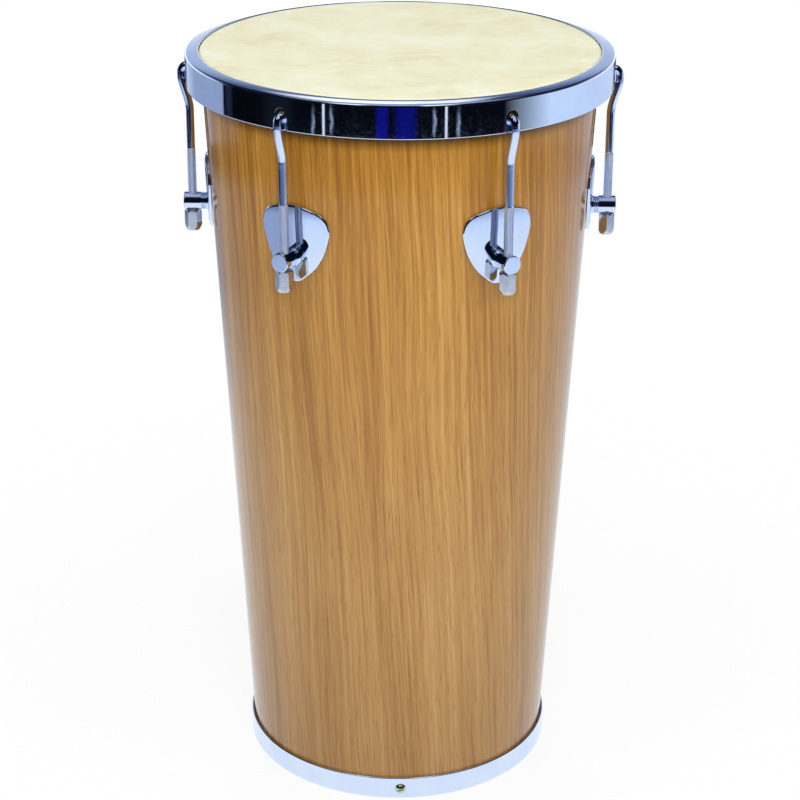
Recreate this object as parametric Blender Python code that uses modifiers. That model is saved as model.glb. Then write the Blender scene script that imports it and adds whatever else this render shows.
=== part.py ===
"""Rebolo drum: a tapered plywood shell, one skin head and six tuning hooks.

Metres, +Z up. The origin is the middle of the bottom ring's underside.
Azimuth 0 faces -Y, and azimuths grow toward +X.
"""
import math

import bmesh
import bpy
from mathutils import Matrix, Vector

# Fit between pieces that touch
CLEARANCE = 0.0003

# Shell, on its outer face at the floor and at the playing height
HEIGHT = 0.500
SHELL_BOTTOM_RADIUS = 0.1027
SHELL_TOP_RADIUS = 0.1291
SHELL_WALL = 0.008
BEARING_ROUND = 0.0025
BEARING_FLAT = 0.0010

# Head: a skin tucked round a wire hoop
SKIN = 0.0008
COLLAR = 0.0014
FLESH_WIRE = 0.0040
TUCK_ANGLE = math.radians(305)

# Counterhoop, pressed from sheet
HOOP_SHEET = 0.0013
HOOP_DEPTH = 0.0222
HOOP_FALL = 0.0008
HOOP_CORNER = 0.0017
HOOP_SIDE_GAP = 0.0017
HOOK_HOLE = 0.0082
HOOK_HOLE_DROP = 0.0124

# Lugs and their tuning hooks
LUG_COUNT = 6
LUG_START = math.radians(30)
LUG_BELOW_HEAD = 0.105
ROD = 0.0053
ROD_THREAD = 0.0060
ROD_THREAD_LENGTH = 0.0547
ROD_INSET = 0.0014
ROD_FIT = 0.0003
HOOK_PLAY = 0.0008
HOOK_JOG = 0.0240
HOOK_JOG_RISE = 0.0035
HOOK_TAIL = 0.0030
POST = 0.0120
POST_REACH = 0.0055
POST_CHAMFER = 0.0006
POST_RING_COUNT = 3
POST_RING_PITCH = 0.0011
POST_RING_DEPTH = 0.0005
POST_RING_GAP = 0.0058
NUT_SEAT = 0.0006
NUT_FLATS = 0.0100
NUT_LENGTH = 0.0140
NUT_CHAMFER = 0.0012
NUT_END = 0.0036
NUT_END_INSET = 0.0014
NUT_TURNS = (0, 0, 20, 12, 30, 30)
ROD_END_INSET = 0.0012

# Lug plate, a domed pick shape
PLATE_WIDTH = 0.0480
PLATE_RISE = 0.0333
PLATE_DROP = 0.0170
PLATE_PROUD = 0.0032
PLATE_RADIUS_ACROSS = 0.080
PLATE_RADIUS_UP = 0.600
PLATE_DOME_DEPTH = 0.060
PLATE_OUTLINE = (
    (0.00, 1.00), (0.50, 0.94), (0.87, 0.81), (1.00, 0.62),
    (0.955, 0.33), (0.73, -0.14), (0.39, -0.69), (0.00, -1.00),
)

# Bolts that hold the posts from inside the shell
BOLT = 0.0050
BOLT_HEAD_FLATS = 0.0080
BOLT_HEAD = 0.0035
BOLT_WALL = 0.0010
WASHER_DIAMETER = 0.0150
WASHER = 0.0012

# Bottom ring and its screws
RING_HEIGHT = 0.0165
RING_SHEET = 0.0017
RING_CORNER = 0.0022
RING_LIP = 0.0080
RING_SCREW_COUNT = 3
RING_SCREW_START = math.radians(2.3)
RING_SCREW = 0.0040
RING_SCREW_HEIGHT = 0.0082
RING_SCREW_HEAD = 0.0073
RING_SCREW_HEAD_RISE = 0.0022
RING_SCREW_SLOT = 0.0009
RING_SCREW_SLOT_DEPTH = 0.0010
RING_SCREW_TURN = math.radians(15)
RING_SCREW_SPARE = 0.0010
RING_NUT_FLATS = 0.0070
RING_NUT = 0.0032

# Facets
TURN_STEPS = 48
WIRE_STEPS = 6
SMALL_STEPS = 12
BORE_STEPS = 10
BORE_TURN = math.radians(9)
BEND_STEPS = 7
JOG_STEPS = 4
SMOOTH_ANGLE = math.radians(35)
MERGE = 0.00001

# Worked-out heights and radii
TAPER = (SHELL_TOP_RADIUS - SHELL_BOTTOM_RADIUS) / HEIGHT
SHELL_TOP = HEIGHT - SKIN - CLEARANCE
SHELL_FOOT = RING_SHEET + CLEARANCE
ROUND_HEIGHT = SHELL_TOP - BEARING_ROUND
ROUND_RADIUS = SHELL_BOTTOM_RADIUS + TAPER * ROUND_HEIGHT - BEARING_ROUND
WRAP_MIDDLE = FLESH_WIRE / 2 + CLEARANCE + SKIN / 2
WRAP_OUTSIDE = WRAP_MIDDLE + SKIN / 2
WIRE_RADIUS = ROUND_RADIUS + BEARING_ROUND + CLEARANCE + SKIN / 2 + WRAP_MIDDLE
WIRE_HEIGHT = ROUND_HEIGHT - COLLAR
BAND_INSIDE = WIRE_RADIUS + WRAP_OUTSIDE + HOOP_SIDE_GAP
BAND_MIDDLE = BAND_INSIDE + HOOP_SHEET / 2
BAND_OUTSIDE = BAND_INSIDE + HOOP_SHEET

LUG_HEIGHT = HEIGHT - LUG_BELOW_HEAD
ROD_RADIUS = BAND_OUTSIDE - ROD_INSET
ROD_BORE = ROD_THREAD + 2 * ROD_FIT
HOOK_INSIDE = HOOP_SHEET / 2 + HOOK_PLAY
HOOK_BEND = HOOK_INSIDE + ROD / 2
POST_END = ROD_RADIUS + POST_REACH
BOLT_BORE = BOLT + 2 * CLEARANCE
BOLT_BORE_END = ROD_RADIUS - ROD_BORE / 2 - BOLT_WALL
NUT_TOP = LUG_HEIGHT - POST / 2 + NUT_SEAT - CLEARANCE
NUT_BOTTOM = NUT_TOP - NUT_LENGTH

RING_INSIDE = SHELL_BOTTOM_RADIUS + TAPER * RING_HEIGHT + CLEARANCE
RING_MIDDLE = RING_INSIDE + RING_SHEET / 2
RING_OUTSIDE = RING_INSIDE + RING_SHEET
RING_SCREW_BORE = RING_SCREW + 2 * CLEARANCE


def shell_radius(height):
    """Outer radius of the tapered shell at a height."""
    return SHELL_BOTTOM_RADIUS + TAPER * height


def lug_azimuths():
    return [LUG_START + math.tau * i / LUG_COUNT for i in range(LUG_COUNT)]


def ring_screw_azimuths():
    return [RING_SCREW_START + math.tau * i / RING_SCREW_COUNT for i in range(RING_SCREW_COUNT)]


def polar(radius, azimuth, height):
    return Vector((radius * math.sin(azimuth), -radius * math.cos(azimuth), height))


def arc(centre, radius, start, end, steps):
    """Points of an arc in the (radius, height) plane, both ends included."""
    points = []
    for i in range(steps + 1):
        angle = start + (end - start) * i / steps
        points.append((centre[0] + radius * math.cos(angle), centre[1] + radius * math.sin(angle)))
    return points


def thicken(path, thickness):
    """Closed outline of a sheet whose middle runs along a path."""
    outer = []
    inner = []
    for i, point in enumerate(path):
        here = Vector(point)
        before = Vector(path[max(i - 1, 0)])
        after = Vector(path[min(i + 1, len(path) - 1)])
        into = (here - before).normalized() if i > 0 else (after - here).normalized()
        out = (after - here).normalized() if i < len(path) - 1 else into
        normal = Vector((-into.y - out.y, into.x + out.x)).normalized()
        reach = thickness / 2 / max(normal.dot(Vector((-into.y, into.x))), 0.3)
        outer.append(tuple(here + normal * reach))
        inner.append(tuple(here - normal * reach))
    return outer + inner[::-1]


def runs_down_outside(outline):
    """The outline in the order that turns into outward faces."""
    area = 0.0
    for (x0, z0), (x1, z1) in zip(outline, outline[1:] + outline[:1]):
        area += x0 * z1 - x1 * z0
    return outline if area < 0 else outline[::-1]


def new_collection(name):
    collection = bpy.data.collections.new(name)
    bpy.context.scene.collection.children.link(collection)
    return collection


for old in list(bpy.data.objects):
    bpy.data.objects.remove(old)
PARTS = new_collection("rebolo_drum")
CUTTERS = new_collection("cutters")


def material(name, color, roughness, metallic=0.0, coat=0.0):
    made = bpy.data.materials.new(name)
    made.use_nodes = True
    shader = made.node_tree.nodes["Principled BSDF"]
    shader.inputs["Base Color"].default_value = (*color, 1.0)
    shader.inputs["Roughness"].default_value = roughness
    shader.inputs["Metallic"].default_value = metallic
    shader.inputs["Coat Weight"].default_value = coat
    made.diffuse_color = (*color, 1.0)
    return made


WOOD = material("varnished_wood", (0.46, 0.25, 0.085), 0.30, coat=0.6)
HIDE = material("goat_skin", (0.82, 0.79, 0.57), 0.55)
CHROME = material("chrome_plate", (0.78, 0.80, 0.84), 0.06, metallic=1.0)
STEEL = material("plain_steel", (0.52, 0.52, 0.53), 0.35, metallic=1.0)
YELLOW_ZINC = material("yellow_zinc", (0.78, 0.68, 0.34), 0.28, metallic=1.0)


def evaluated_mesh(obj):
    """The mesh that an object shows, in the object's own coordinates."""
    bpy.context.view_layer.update()
    depsgraph = bpy.context.evaluated_depsgraph_get()
    return bpy.data.meshes.new_from_object(obj.evaluated_get(depsgraph))


def add_object(name, data, collection=PARTS):
    obj = bpy.data.objects.new(name, data)
    collection.objects.link(obj)
    return obj


def smooth(mesh):
    mesh.shade_smooth()
    mesh.set_sharp_from_angle(angle=SMOOTH_ANGLE)


def baked(obj):
    """Replaces an object by its evaluated mesh, with no modifiers left."""
    mesh = evaluated_mesh(obj)
    smooth(mesh)
    result = add_object(obj.name, mesh)
    result.matrix_world = obj.matrix_world.copy()
    name = obj.name
    bpy.data.objects.remove(obj)
    result.name = name
    return result


def turned(name, outline, steps=TURN_STEPS, closed=True, collection=PARTS):
    """A body of revolution about Z from an outline of (radius, height) points."""
    outline = runs_down_outside(outline)
    mesh = bpy.data.meshes.new(name)
    count = len(outline)
    edges = [(i, (i + 1) % count) for i in range(count if closed else count - 1)]
    mesh.from_pydata([(x, 0.0, z) for x, z in outline], edges, [])
    profile = add_object(name + "_profile", mesh, collection)
    screw = profile.modifiers.new("turn", "SCREW")
    screw.axis = "Z"
    screw.steps = steps
    screw.render_steps = steps
    screw.use_merge_vertices = True
    screw.merge_threshold = MERGE
    result = evaluated_mesh(profile)
    bpy.data.objects.remove(profile)
    smooth(result)
    return add_object(name, result, collection)


def as_cutter(obj):
    obj.hide_render = True
    obj.display_type = "WIRE"
    return obj


def boolean(obj, cutter, operation="DIFFERENCE"):
    modifier = obj.modifiers.new(cutter.name, "BOOLEAN")
    modifier.operation = operation
    modifier.solver = "EXACT"
    modifier.object = cutter
    return modifier


def rod_mesh(name, radius, length, sides):
    """A cylinder mesh along Z, centred on its origin."""
    mesh = bpy.data.meshes.new(name)
    shape = bmesh.new()
    bmesh.ops.create_cone(
        shape, cap_ends=True, segments=sides, radius1=radius, radius2=radius, depth=length)
    shape.to_mesh(mesh)
    shape.free()
    smooth(mesh)
    return mesh


def radial_frame(radius, azimuth, height):
    """Local Z points out of the drum, local Y up, local X round it."""
    turn = Matrix.Rotation(azimuth, 4, "Z") @ Matrix.Rotation(math.pi / 2, 4, "X")
    return Matrix.Translation(polar(radius, azimuth, height)) @ turn


def radial_bore(name, diameter, azimuth, height, inner, outer):
    """A round cutter that points out of the drum, from one radius to another."""
    mesh = rod_mesh(name, diameter / 2, outer - inner, BORE_STEPS)
    mesh.transform(Matrix.Rotation(BORE_TURN, 4, "Z"))
    cutter = as_cutter(add_object(name, mesh, CUTTERS))
    cutter.matrix_world = radial_frame((inner + outer) / 2, azimuth, height)
    return cutter


def hexagon_radius(flats):
    return flats / math.sqrt(3)


def hexagon(name, flats, length):
    """A plain hexagon along Z, centred on its origin."""
    return add_object(name, rod_mesh(name, hexagon_radius(flats), length, 6))


def baked_and_clean(obj, cutters):
    """Bakes an object and removes the cutters that only it used."""
    result = baked(obj)
    for cutter in cutters:
        bpy.data.objects.remove(cutter)
    return result


def bored(obj, diameter, length):
    """Drills a hole along an object's local Z and bakes the result."""
    drill_mesh = rod_mesh("drill", diameter / 2, length, BORE_STEPS)
    drill = as_cutter(add_object("drill", drill_mesh, CUTTERS))
    drill.matrix_world = obj.matrix_world.copy()
    boolean(obj, drill)
    return baked_and_clean(obj, [drill])


def finish(obj, name, look, parent):
    """Names a piece, gives it its own material and hangs it on its group."""
    obj.name = name
    own = look.copy()
    own.name = name + "_finish"
    obj.data = obj.data.copy() if obj.data.materials else obj.data
    obj.data.materials.clear()
    obj.data.materials.append(own)
    place = obj.matrix_world.copy()
    obj.parent = parent
    obj.matrix_world = place
    return obj


def repeated(master, name, frames, look, parent):
    """One object for each frame, all with the master's mesh."""
    master_mesh = master.data
    bpy.data.objects.remove(master)
    made = []
    for i, frame in enumerate(frames, start=1):
        piece = add_object(f"{name}_{i}", master_mesh.copy())
        piece.matrix_world = frame
        made.append(finish(piece, f"{name}_{i}", look, parent))
    return made


def drill_wall(shell, name, diameter, azimuth, height):
    """A radial hole through the shell's wall."""
    middle = shell_radius(height) - SHELL_WALL / 2
    inner = middle - SHELL_WALL
    outer = middle + SHELL_WALL
    boolean(shell, radial_bore(name, diameter, azimuth, height, inner, outer))


def make_shell():
    """Plywood shell: outside rounded and inside bevelled to a narrow bearing edge."""
    inside = shell_radius(ROUND_HEIGHT) - SHELL_WALL
    crest = ROUND_RADIUS - BEARING_FLAT
    bevel = crest - inside
    outline = arc((ROUND_RADIUS, ROUND_HEIGHT), BEARING_ROUND, math.pi / 2, 0, 3)
    outline.append((shell_radius(SHELL_FOOT), SHELL_FOOT))
    outline.append((shell_radius(SHELL_FOOT) - SHELL_WALL, SHELL_FOOT))
    outline.append((shell_radius(SHELL_TOP - bevel) - SHELL_WALL, SHELL_TOP - bevel))
    outline.append((crest, SHELL_TOP))
    shell = turned("shell", outline)
    for i, azimuth in enumerate(lug_azimuths(), start=1):
        drill_wall(shell, f"shell_bolt_hole_{i}", BOLT_BORE, azimuth, LUG_HEIGHT)
    for i, azimuth in enumerate(ring_screw_azimuths(), start=1):
        drill_wall(shell, f"shell_screw_hole_{i}", RING_SCREW_BORE, azimuth, RING_SCREW_HEIGHT)
    return shell


def make_head_skin():
    """Skin over the bearing edge, tucked under, round and over the flesh hoop."""
    middle = HEIGHT - SKIN / 2
    round_over = BEARING_ROUND + CLEARANCE + SKIN / 2
    path = [(0.0, middle)]
    path += arc((ROUND_RADIUS, ROUND_HEIGHT), round_over, math.pi / 2, 0, 3)
    tuck_end = math.pi + TUCK_ANGLE
    path += arc((WIRE_RADIUS, WIRE_HEIGHT), WRAP_MIDDLE, math.pi, tuck_end, BEND_STEPS)
    return turned("head_skin", thicken(path, SKIN), closed=False)


def make_flesh_hoop():
    bpy.ops.mesh.primitive_torus_add(
        major_radius=WIRE_RADIUS, minor_radius=FLESH_WIRE / 2,
        major_segments=TURN_STEPS, minor_segments=WIRE_STEPS, location=(0, 0, WIRE_HEIGHT))
    ring = bpy.context.object
    for collection in list(ring.users_collection):
        collection.objects.unlink(ring)
    PARTS.objects.link(ring)
    smooth(ring.data)
    return ring


def flange_slope():
    """Fall of the counterhoop's flange, from its lip to its outer bend."""
    return math.atan2(HOOP_FALL, BAND_OUTSIDE - HOOP_CORNER - ROUND_RADIUS - BEARING_ROUND)


def flange_height(radius):
    """Height of the middle of the flange's sheet."""
    over_wire = WRAP_OUTSIDE + CLEARANCE + HOOP_SHEET / 2
    at_wire = WIRE_HEIGHT + over_wire / math.cos(flange_slope())
    return at_wire + (WIRE_RADIUS - radius) * math.tan(flange_slope())


def lip_radius():
    """The lip stops one clearance short of the skin's rounded corner."""
    skin_corner = BEARING_ROUND + SKIN + 2 * CLEARANCE
    rise = flange_height(ROUND_RADIUS + skin_corner) - HOOP_SHEET / 2 - ROUND_HEIGHT
    return ROUND_RADIUS + math.sqrt(max(skin_corner ** 2 - rise ** 2, 0.0))


def hoop_corner():
    """Centre and middle radius of the bend between flange and band."""
    bend = HOOP_CORNER - HOOP_SHEET / 2
    radius = BAND_MIDDLE - bend
    slope = flange_slope()
    height = flange_height(radius + bend * math.sin(slope)) - bend * math.cos(slope)
    return (radius, height), bend


def hoop_top():
    return flange_height(lip_radius()) + HOOP_SHEET / 2


def hoop_bottom():
    return hoop_top() - HOOP_DEPTH


def hook_hole_height():
    return hoop_top() - HOOK_HOLE_DROP


def hook_bend_height():
    """The hook's bend hangs over the strip of band that is left under its hole."""
    corner = HOOK_INSIDE - CLEARANCE
    drop = math.sqrt(corner ** 2 - (HOOP_SHEET / 2) ** 2)
    return hook_hole_height() - HOOK_HOLE / 2 - drop


def make_counterhoop():
    centre, bend = hoop_corner()
    path = [(lip_radius(), flange_height(lip_radius()))]
    path += arc(centre, bend, math.pi / 2 - flange_slope(), 0, 3)
    path.append((BAND_MIDDLE, hoop_bottom()))
    hoop = turned("counterhoop", thicken(path, HOOP_SHEET))
    inner = BAND_MIDDLE - 4 * HOOP_SHEET
    outer = BAND_MIDDLE + 4 * HOOP_SHEET
    for i, azimuth in enumerate(lug_azimuths(), start=1):
        name = f"hook_hole_{i}"
        boolean(hoop, radial_bore(name, HOOK_HOLE, azimuth, hook_hole_height(), inner, outer))
    return hoop


def hook_path():
    """(radius, height, thickness) along the hook, from its threaded end to its tail."""
    bend_height = hook_bend_height()
    leg = BAND_MIDDLE + HOOK_BEND
    jog_bottom = hoop_bottom() + HOOK_JOG_RISE - HOOK_JOG
    rod_end = NUT_BOTTOM + ROD_END_INSET
    thread_top = rod_end + ROD_THREAD_LENGTH
    path = [
        (ROD_RADIUS, rod_end, ROD_THREAD),
        (ROD_RADIUS, thread_top, ROD_THREAD),
        (ROD_RADIUS, thread_top + CLEARANCE, ROD),
    ]
    for i in range(JOG_STEPS + 1):
        share = i / JOG_STEPS
        ease = (1 - math.cos(math.pi * share)) / 2
        path.append((ROD_RADIUS + (leg - ROD_RADIUS) * ease, jog_bottom + HOOK_JOG * share, ROD))
    for radius, height in arc((BAND_MIDDLE, bend_height), HOOK_BEND, 0, math.pi, BEND_STEPS):
        path.append((radius, height, ROD))
    path.append((BAND_MIDDLE - HOOK_BEND, bend_height - HOOK_TAIL, ROD))
    return path


def make_hook():
    """Bent rod, as a bevelled curve with its caps welded."""
    curve = bpy.data.curves.new("tension_hook", "CURVE")
    curve.dimensions = "3D"
    curve.bevel_depth = ROD / 2
    curve.bevel_resolution = 2
    curve.use_fill_caps = True
    spline = curve.splines.new("POLY")
    path = hook_path()
    spline.points.add(len(path) - 1)
    for point, (radius, height, thickness) in zip(spline.points, path):
        point.co = (*polar(radius, 0, height), 1.0)
        point.radius = thickness / ROD
    rod = add_object("tension_hook_curve", curve)
    mesh = evaluated_mesh(rod)
    bpy.data.objects.remove(rod)
    shape = bmesh.new()
    shape.from_mesh(mesh)
    bmesh.ops.remove_doubles(shape, verts=shape.verts, dist=MERGE)
    bmesh.ops.recalc_face_normals(shape, faces=shape.faces)
    shape.to_mesh(mesh)
    shape.free()
    smooth(mesh)
    return add_object("tension_hook", mesh)


def make_tuning_nut():
    """Long hexagon nut, chamfered on top, with its lower end turned to a steep taper."""
    nut = hexagon("tuning_nut", NUT_FLATS, NUT_LENGTH)
    corner = hexagon_radius(NUT_FLATS)
    spare = corner / math.cos(math.pi / SMALL_STEPS) + CLEARANCE - corner
    half = NUT_LENGTH / 2
    shoulder = half - NUT_CHAMFER - spare
    waist = NUT_END - half + spare * NUT_END / NUT_END_INSET
    outline = [(0, half), (corner - NUT_CHAMFER, half), (corner + spare, shoulder)]
    outline += [(corner + spare, waist), (corner - NUT_END_INSET, -half), (0, -half)]
    turning = as_cutter(turned("nut_turning", outline, SMALL_STEPS, closed=False, collection=CUTTERS))
    boolean(nut, turning, "INTERSECT")
    return bored(baked_and_clean(nut, [turning]), ROD_BORE, 2 * NUT_LENGTH)


def make_dome(name, growth):
    """Ellipsoid whose front is the domed face of the lug plate at azimuth 0."""
    middle = LUG_HEIGHT + (PLATE_RISE - PLATE_DROP) / 2
    across = math.sqrt(PLATE_RADIUS_ACROSS * PLATE_DOME_DEPTH)
    upward = math.sqrt(PLATE_RADIUS_UP * PLATE_DOME_DEPTH)
    mesh = bpy.data.meshes.new(name)
    shape = bmesh.new()
    bmesh.ops.create_uvsphere(shape, u_segments=TURN_STEPS, v_segments=TURN_STEPS // 2, radius=1.0)
    size = Matrix.Diagonal((across + growth, PLATE_DOME_DEPTH + growth, upward + growth, 1.0))
    lean = Matrix.Rotation(math.atan(TAPER), 4, "X")
    centre = polar(shell_radius(middle) + PLATE_PROUD - PLATE_DOME_DEPTH, 0, middle)
    bmesh.ops.transform(shape, matrix=Matrix.Translation(centre) @ lean @ size, verts=shape.verts)
    shape.to_mesh(mesh)
    shape.free()
    return as_cutter(add_object(name, mesh, CUTTERS))


def make_shell_core():
    """The shell's outer cone, one clearance larger, to form the back of a plate."""
    low = LUG_HEIGHT - 3 * PLATE_DROP
    high = LUG_HEIGHT + 2 * PLATE_RISE
    outline = [(0, high), (shell_radius(high) + CLEARANCE, high)]
    outline += [(shell_radius(low) + CLEARANCE, low), (0, low)]
    return as_cutter(turned("shell_core", outline, closed=False, collection=CUTTERS))


def plate_blank():
    """The pick outline as a filled 2D curve, extruded out of the drum."""
    half = PLATE_WIDTH / 2
    right = []
    for across, up in PLATE_OUTLINE:
        right.append((across * half, up * (PLATE_RISE if up > 0 else PLATE_DROP)))
    left = [(-x, y) for x, y in right[-2:0:-1]]
    points = right + left
    curve = bpy.data.curves.new("plate_outline", "CURVE")
    curve.dimensions = "2D"
    curve.fill_mode = "BOTH"
    curve.extrude = PLATE_DOME_DEPTH / 4
    curve.resolution_u = 2
    spline = curve.splines.new("BEZIER")
    spline.bezier_points.add(len(points) - 1)
    for knot, (x, y) in zip(spline.bezier_points, points):
        knot.co = (x, y, 0)
        knot.handle_left_type = "AUTO"
        knot.handle_right_type = "AUTO"
    spline.use_cyclic_u = True
    flat = add_object("plate_outline", curve)
    mesh = evaluated_mesh(flat)
    bpy.data.objects.remove(flat)
    shape = bmesh.new()
    shape.from_mesh(mesh)
    bmesh.ops.remove_doubles(shape, verts=shape.verts, dist=MERGE)
    bmesh.ops.recalc_face_normals(shape, faces=shape.faces)
    shape.to_mesh(mesh)
    shape.free()
    blank = add_object("lug_plate", mesh)
    blank.matrix_world = radial_frame(shell_radius(LUG_HEIGHT), 0, LUG_HEIGHT)
    return blank


def make_lug_plate():
    """Outline trimmed to the dome in front and to the shell behind, with its bolt hole."""
    plate = plate_blank()
    dome = make_dome("plate_dome", 0.0)
    core = make_shell_core()
    middle = shell_radius(LUG_HEIGHT)
    reach = PLATE_DOME_DEPTH / 4
    hole = radial_bore("plate_hole", BOLT_BORE, 0, LUG_HEIGHT, middle - reach, middle + reach)
    boolean(plate, dome, "INTERSECT")
    boolean(plate, core)
    boolean(plate, hole)
    return baked_and_clean(plate, [dome, core, hole])


def post_outline():
    """Half section of the post along its own axis, before its foot is formed."""
    radius = POST / 2
    length = POST_END - shell_radius(LUG_HEIGHT)
    outline = [(0, length), (radius - POST_CHAMFER, length), (radius, length - POST_CHAMFER)]
    top = ROD_RADIUS - POST_RING_GAP - shell_radius(LUG_HEIGHT)
    for i in range(POST_RING_COUNT):
        start = top - i * POST_RING_PITCH
        outline.append((radius, start))
        outline.append((radius - POST_RING_DEPTH, start - POST_RING_PITCH / 2))
    outline.append((radius, top - POST_RING_COUNT * POST_RING_PITCH))
    outline.append((radius, 0))
    outline.append((0, 0))
    return outline


def make_lug_post():
    """Post with ring grooves, rod bore, nut seat and blind bolt bore."""
    post = turned("lug_post", post_outline(), SMALL_STEPS, closed=False)
    post.matrix_world = radial_frame(shell_radius(LUG_HEIGHT), 0, LUG_HEIGHT)
    dome = make_dome("post_foot", CLEARANCE)
    cross_mesh = rod_mesh("rod_bore", ROD_BORE / 2, 2 * POST, BORE_STEPS)
    cross = as_cutter(add_object("rod_bore", cross_mesh, CUTTERS))
    cross.matrix_world = Matrix.Translation(polar(ROD_RADIUS, 0, LUG_HEIGHT))
    seat_mesh = rod_mesh("nut_seat", hexagon_radius(NUT_FLATS) + 2 * CLEARANCE, POST, SMALL_STEPS)
    seat = as_cutter(add_object("nut_seat", seat_mesh, CUTTERS))
    seat.matrix_world = Matrix.Translation(polar(ROD_RADIUS, 0, NUT_TOP + CLEARANCE - POST / 2))
    bolt_bore_start = shell_radius(LUG_HEIGHT) - POST
    blind = radial_bore("bolt_bore", BOLT_BORE, 0, LUG_HEIGHT, bolt_bore_start, BOLT_BORE_END)
    cutters = [dome, cross, seat, blind]
    for cutter in cutters:
        boolean(post, cutter)
    return baked_and_clean(post, cutters)


def washer_seat():
    """Largest radius at which a flat washer clears the tapered, hollow wall."""
    reach = WASHER_DIAMETER / 2
    furthest = []
    for i in range(SMALL_STEPS):
        angle = math.tau * i / SMALL_STEPS
        wall = shell_radius(LUG_HEIGHT + reach * math.sin(angle)) - SHELL_WALL - CLEARANCE
        wall *= math.cos(math.pi / TURN_STEPS)
        furthest.append(math.sqrt(wall ** 2 - (reach * math.cos(angle)) ** 2))
    return min(furthest)


def make_washer():
    hole = BOLT_BORE / 2
    rim = WASHER_DIAMETER / 2
    outline = [(hole, 0), (rim, 0), (rim, -WASHER), (hole, -WASHER)]
    return turned("lug_washer", outline, SMALL_STEPS)


def make_bolt():
    """Hexagon head inside the drum, with its shank in the post's blind bore."""
    under_head = washer_seat() - WASHER - CLEARANCE
    shank = BOLT_BORE_END - CLEARANCE - under_head
    head = hexagon("lug_bolt", BOLT_HEAD_FLATS, BOLT_HEAD)
    head.data.transform(Matrix.Translation((0, 0, -BOLT_HEAD / 2)))
    overlap = BOLT_HEAD / 2
    mesh = rod_mesh("bolt_shank", BOLT / 2, shank + overlap, WIRE_STEPS)
    mesh.transform(Matrix.Translation((0, 0, (shank - overlap) / 2)))
    shaft = as_cutter(add_object("bolt_shank", mesh, CUTTERS))
    boolean(head, shaft, "UNION")
    return baked_and_clean(head, [shaft])


def make_bottom_ring():
    """L-shaped ring: a band round the shell's end and a lip that carries it."""
    bend = RING_CORNER - RING_SHEET / 2
    low = RING_SHEET / 2
    path = [(RING_MIDDLE - RING_LIP, low)]
    path += arc((RING_MIDDLE - bend, low + bend), bend, -math.pi / 2, 0, 2)
    path.append((RING_MIDDLE, RING_HEIGHT))
    ring = turned("bottom_ring", thicken(path, RING_SHEET))
    inner = RING_MIDDLE - 3 * RING_SHEET
    outer = RING_MIDDLE + 3 * RING_SHEET
    for i, azimuth in enumerate(ring_screw_azimuths(), start=1):
        name = f"ring_screw_hole_{i}"
        boolean(ring, radial_bore(name, RING_SCREW_BORE, azimuth, RING_SCREW_HEIGHT, inner, outer))
    return ring


def ring_nut_seat():
    """Radius of the face of a ring nut, against the tapered inner wall."""
    reach = hexagon_radius(RING_NUT_FLATS)
    wall = shell_radius(RING_SCREW_HEIGHT - reach) - SHELL_WALL - CLEARANCE
    return math.sqrt((wall * math.cos(math.pi / TURN_STEPS)) ** 2 - reach ** 2)


def make_ring_screw():
    """Slotted round-head screw whose shank reaches just past its nut."""
    head = RING_SCREW_HEAD / 2
    dome_radius = (head ** 2 + RING_SCREW_HEAD_RISE ** 2) / (2 * RING_SCREW_HEAD_RISE)
    centre = (0.0, RING_SCREW_HEAD_RISE - dome_radius)
    edge = math.asin(min(-centre[1] / dome_radius, 1.0))
    outline = arc(centre, dome_radius, math.pi / 2, edge, 4)
    outline[0] = (0.0, RING_SCREW_HEAD_RISE)
    shank = RING_OUTSIDE + CLEARANCE - ring_nut_seat() + RING_NUT + RING_SCREW_SPARE
    outline += [(RING_SCREW / 2, 0), (RING_SCREW / 2, -shank), (0, -shank)]
    screw = turned("ring_screw", outline, SMALL_STEPS, closed=False)
    slot_mesh = bpy.data.meshes.new("screw_slot")
    shape = bmesh.new()
    bmesh.ops.create_cube(shape, size=1.0)
    size = Matrix.Diagonal((2 * RING_SCREW_HEAD, RING_SCREW_SLOT, 2 * RING_SCREW_SLOT_DEPTH, 1.0))
    turn = Matrix.Rotation(RING_SCREW_TURN, 4, "Z")
    lift = Matrix.Translation((0, 0, RING_SCREW_HEAD_RISE))
    bmesh.ops.transform(shape, matrix=lift @ turn @ size, verts=shape.verts)
    shape.to_mesh(slot_mesh)
    shape.free()
    slot = as_cutter(add_object("screw_slot", slot_mesh, CUTTERS))
    boolean(screw, slot)
    return baked_and_clean(screw, [slot])


def make_ring_nut():
    nut = hexagon("ring_nut", RING_NUT_FLATS, RING_NUT)
    return bored(nut, RING_SCREW_BORE, 2 * RING_NUT)


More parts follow.
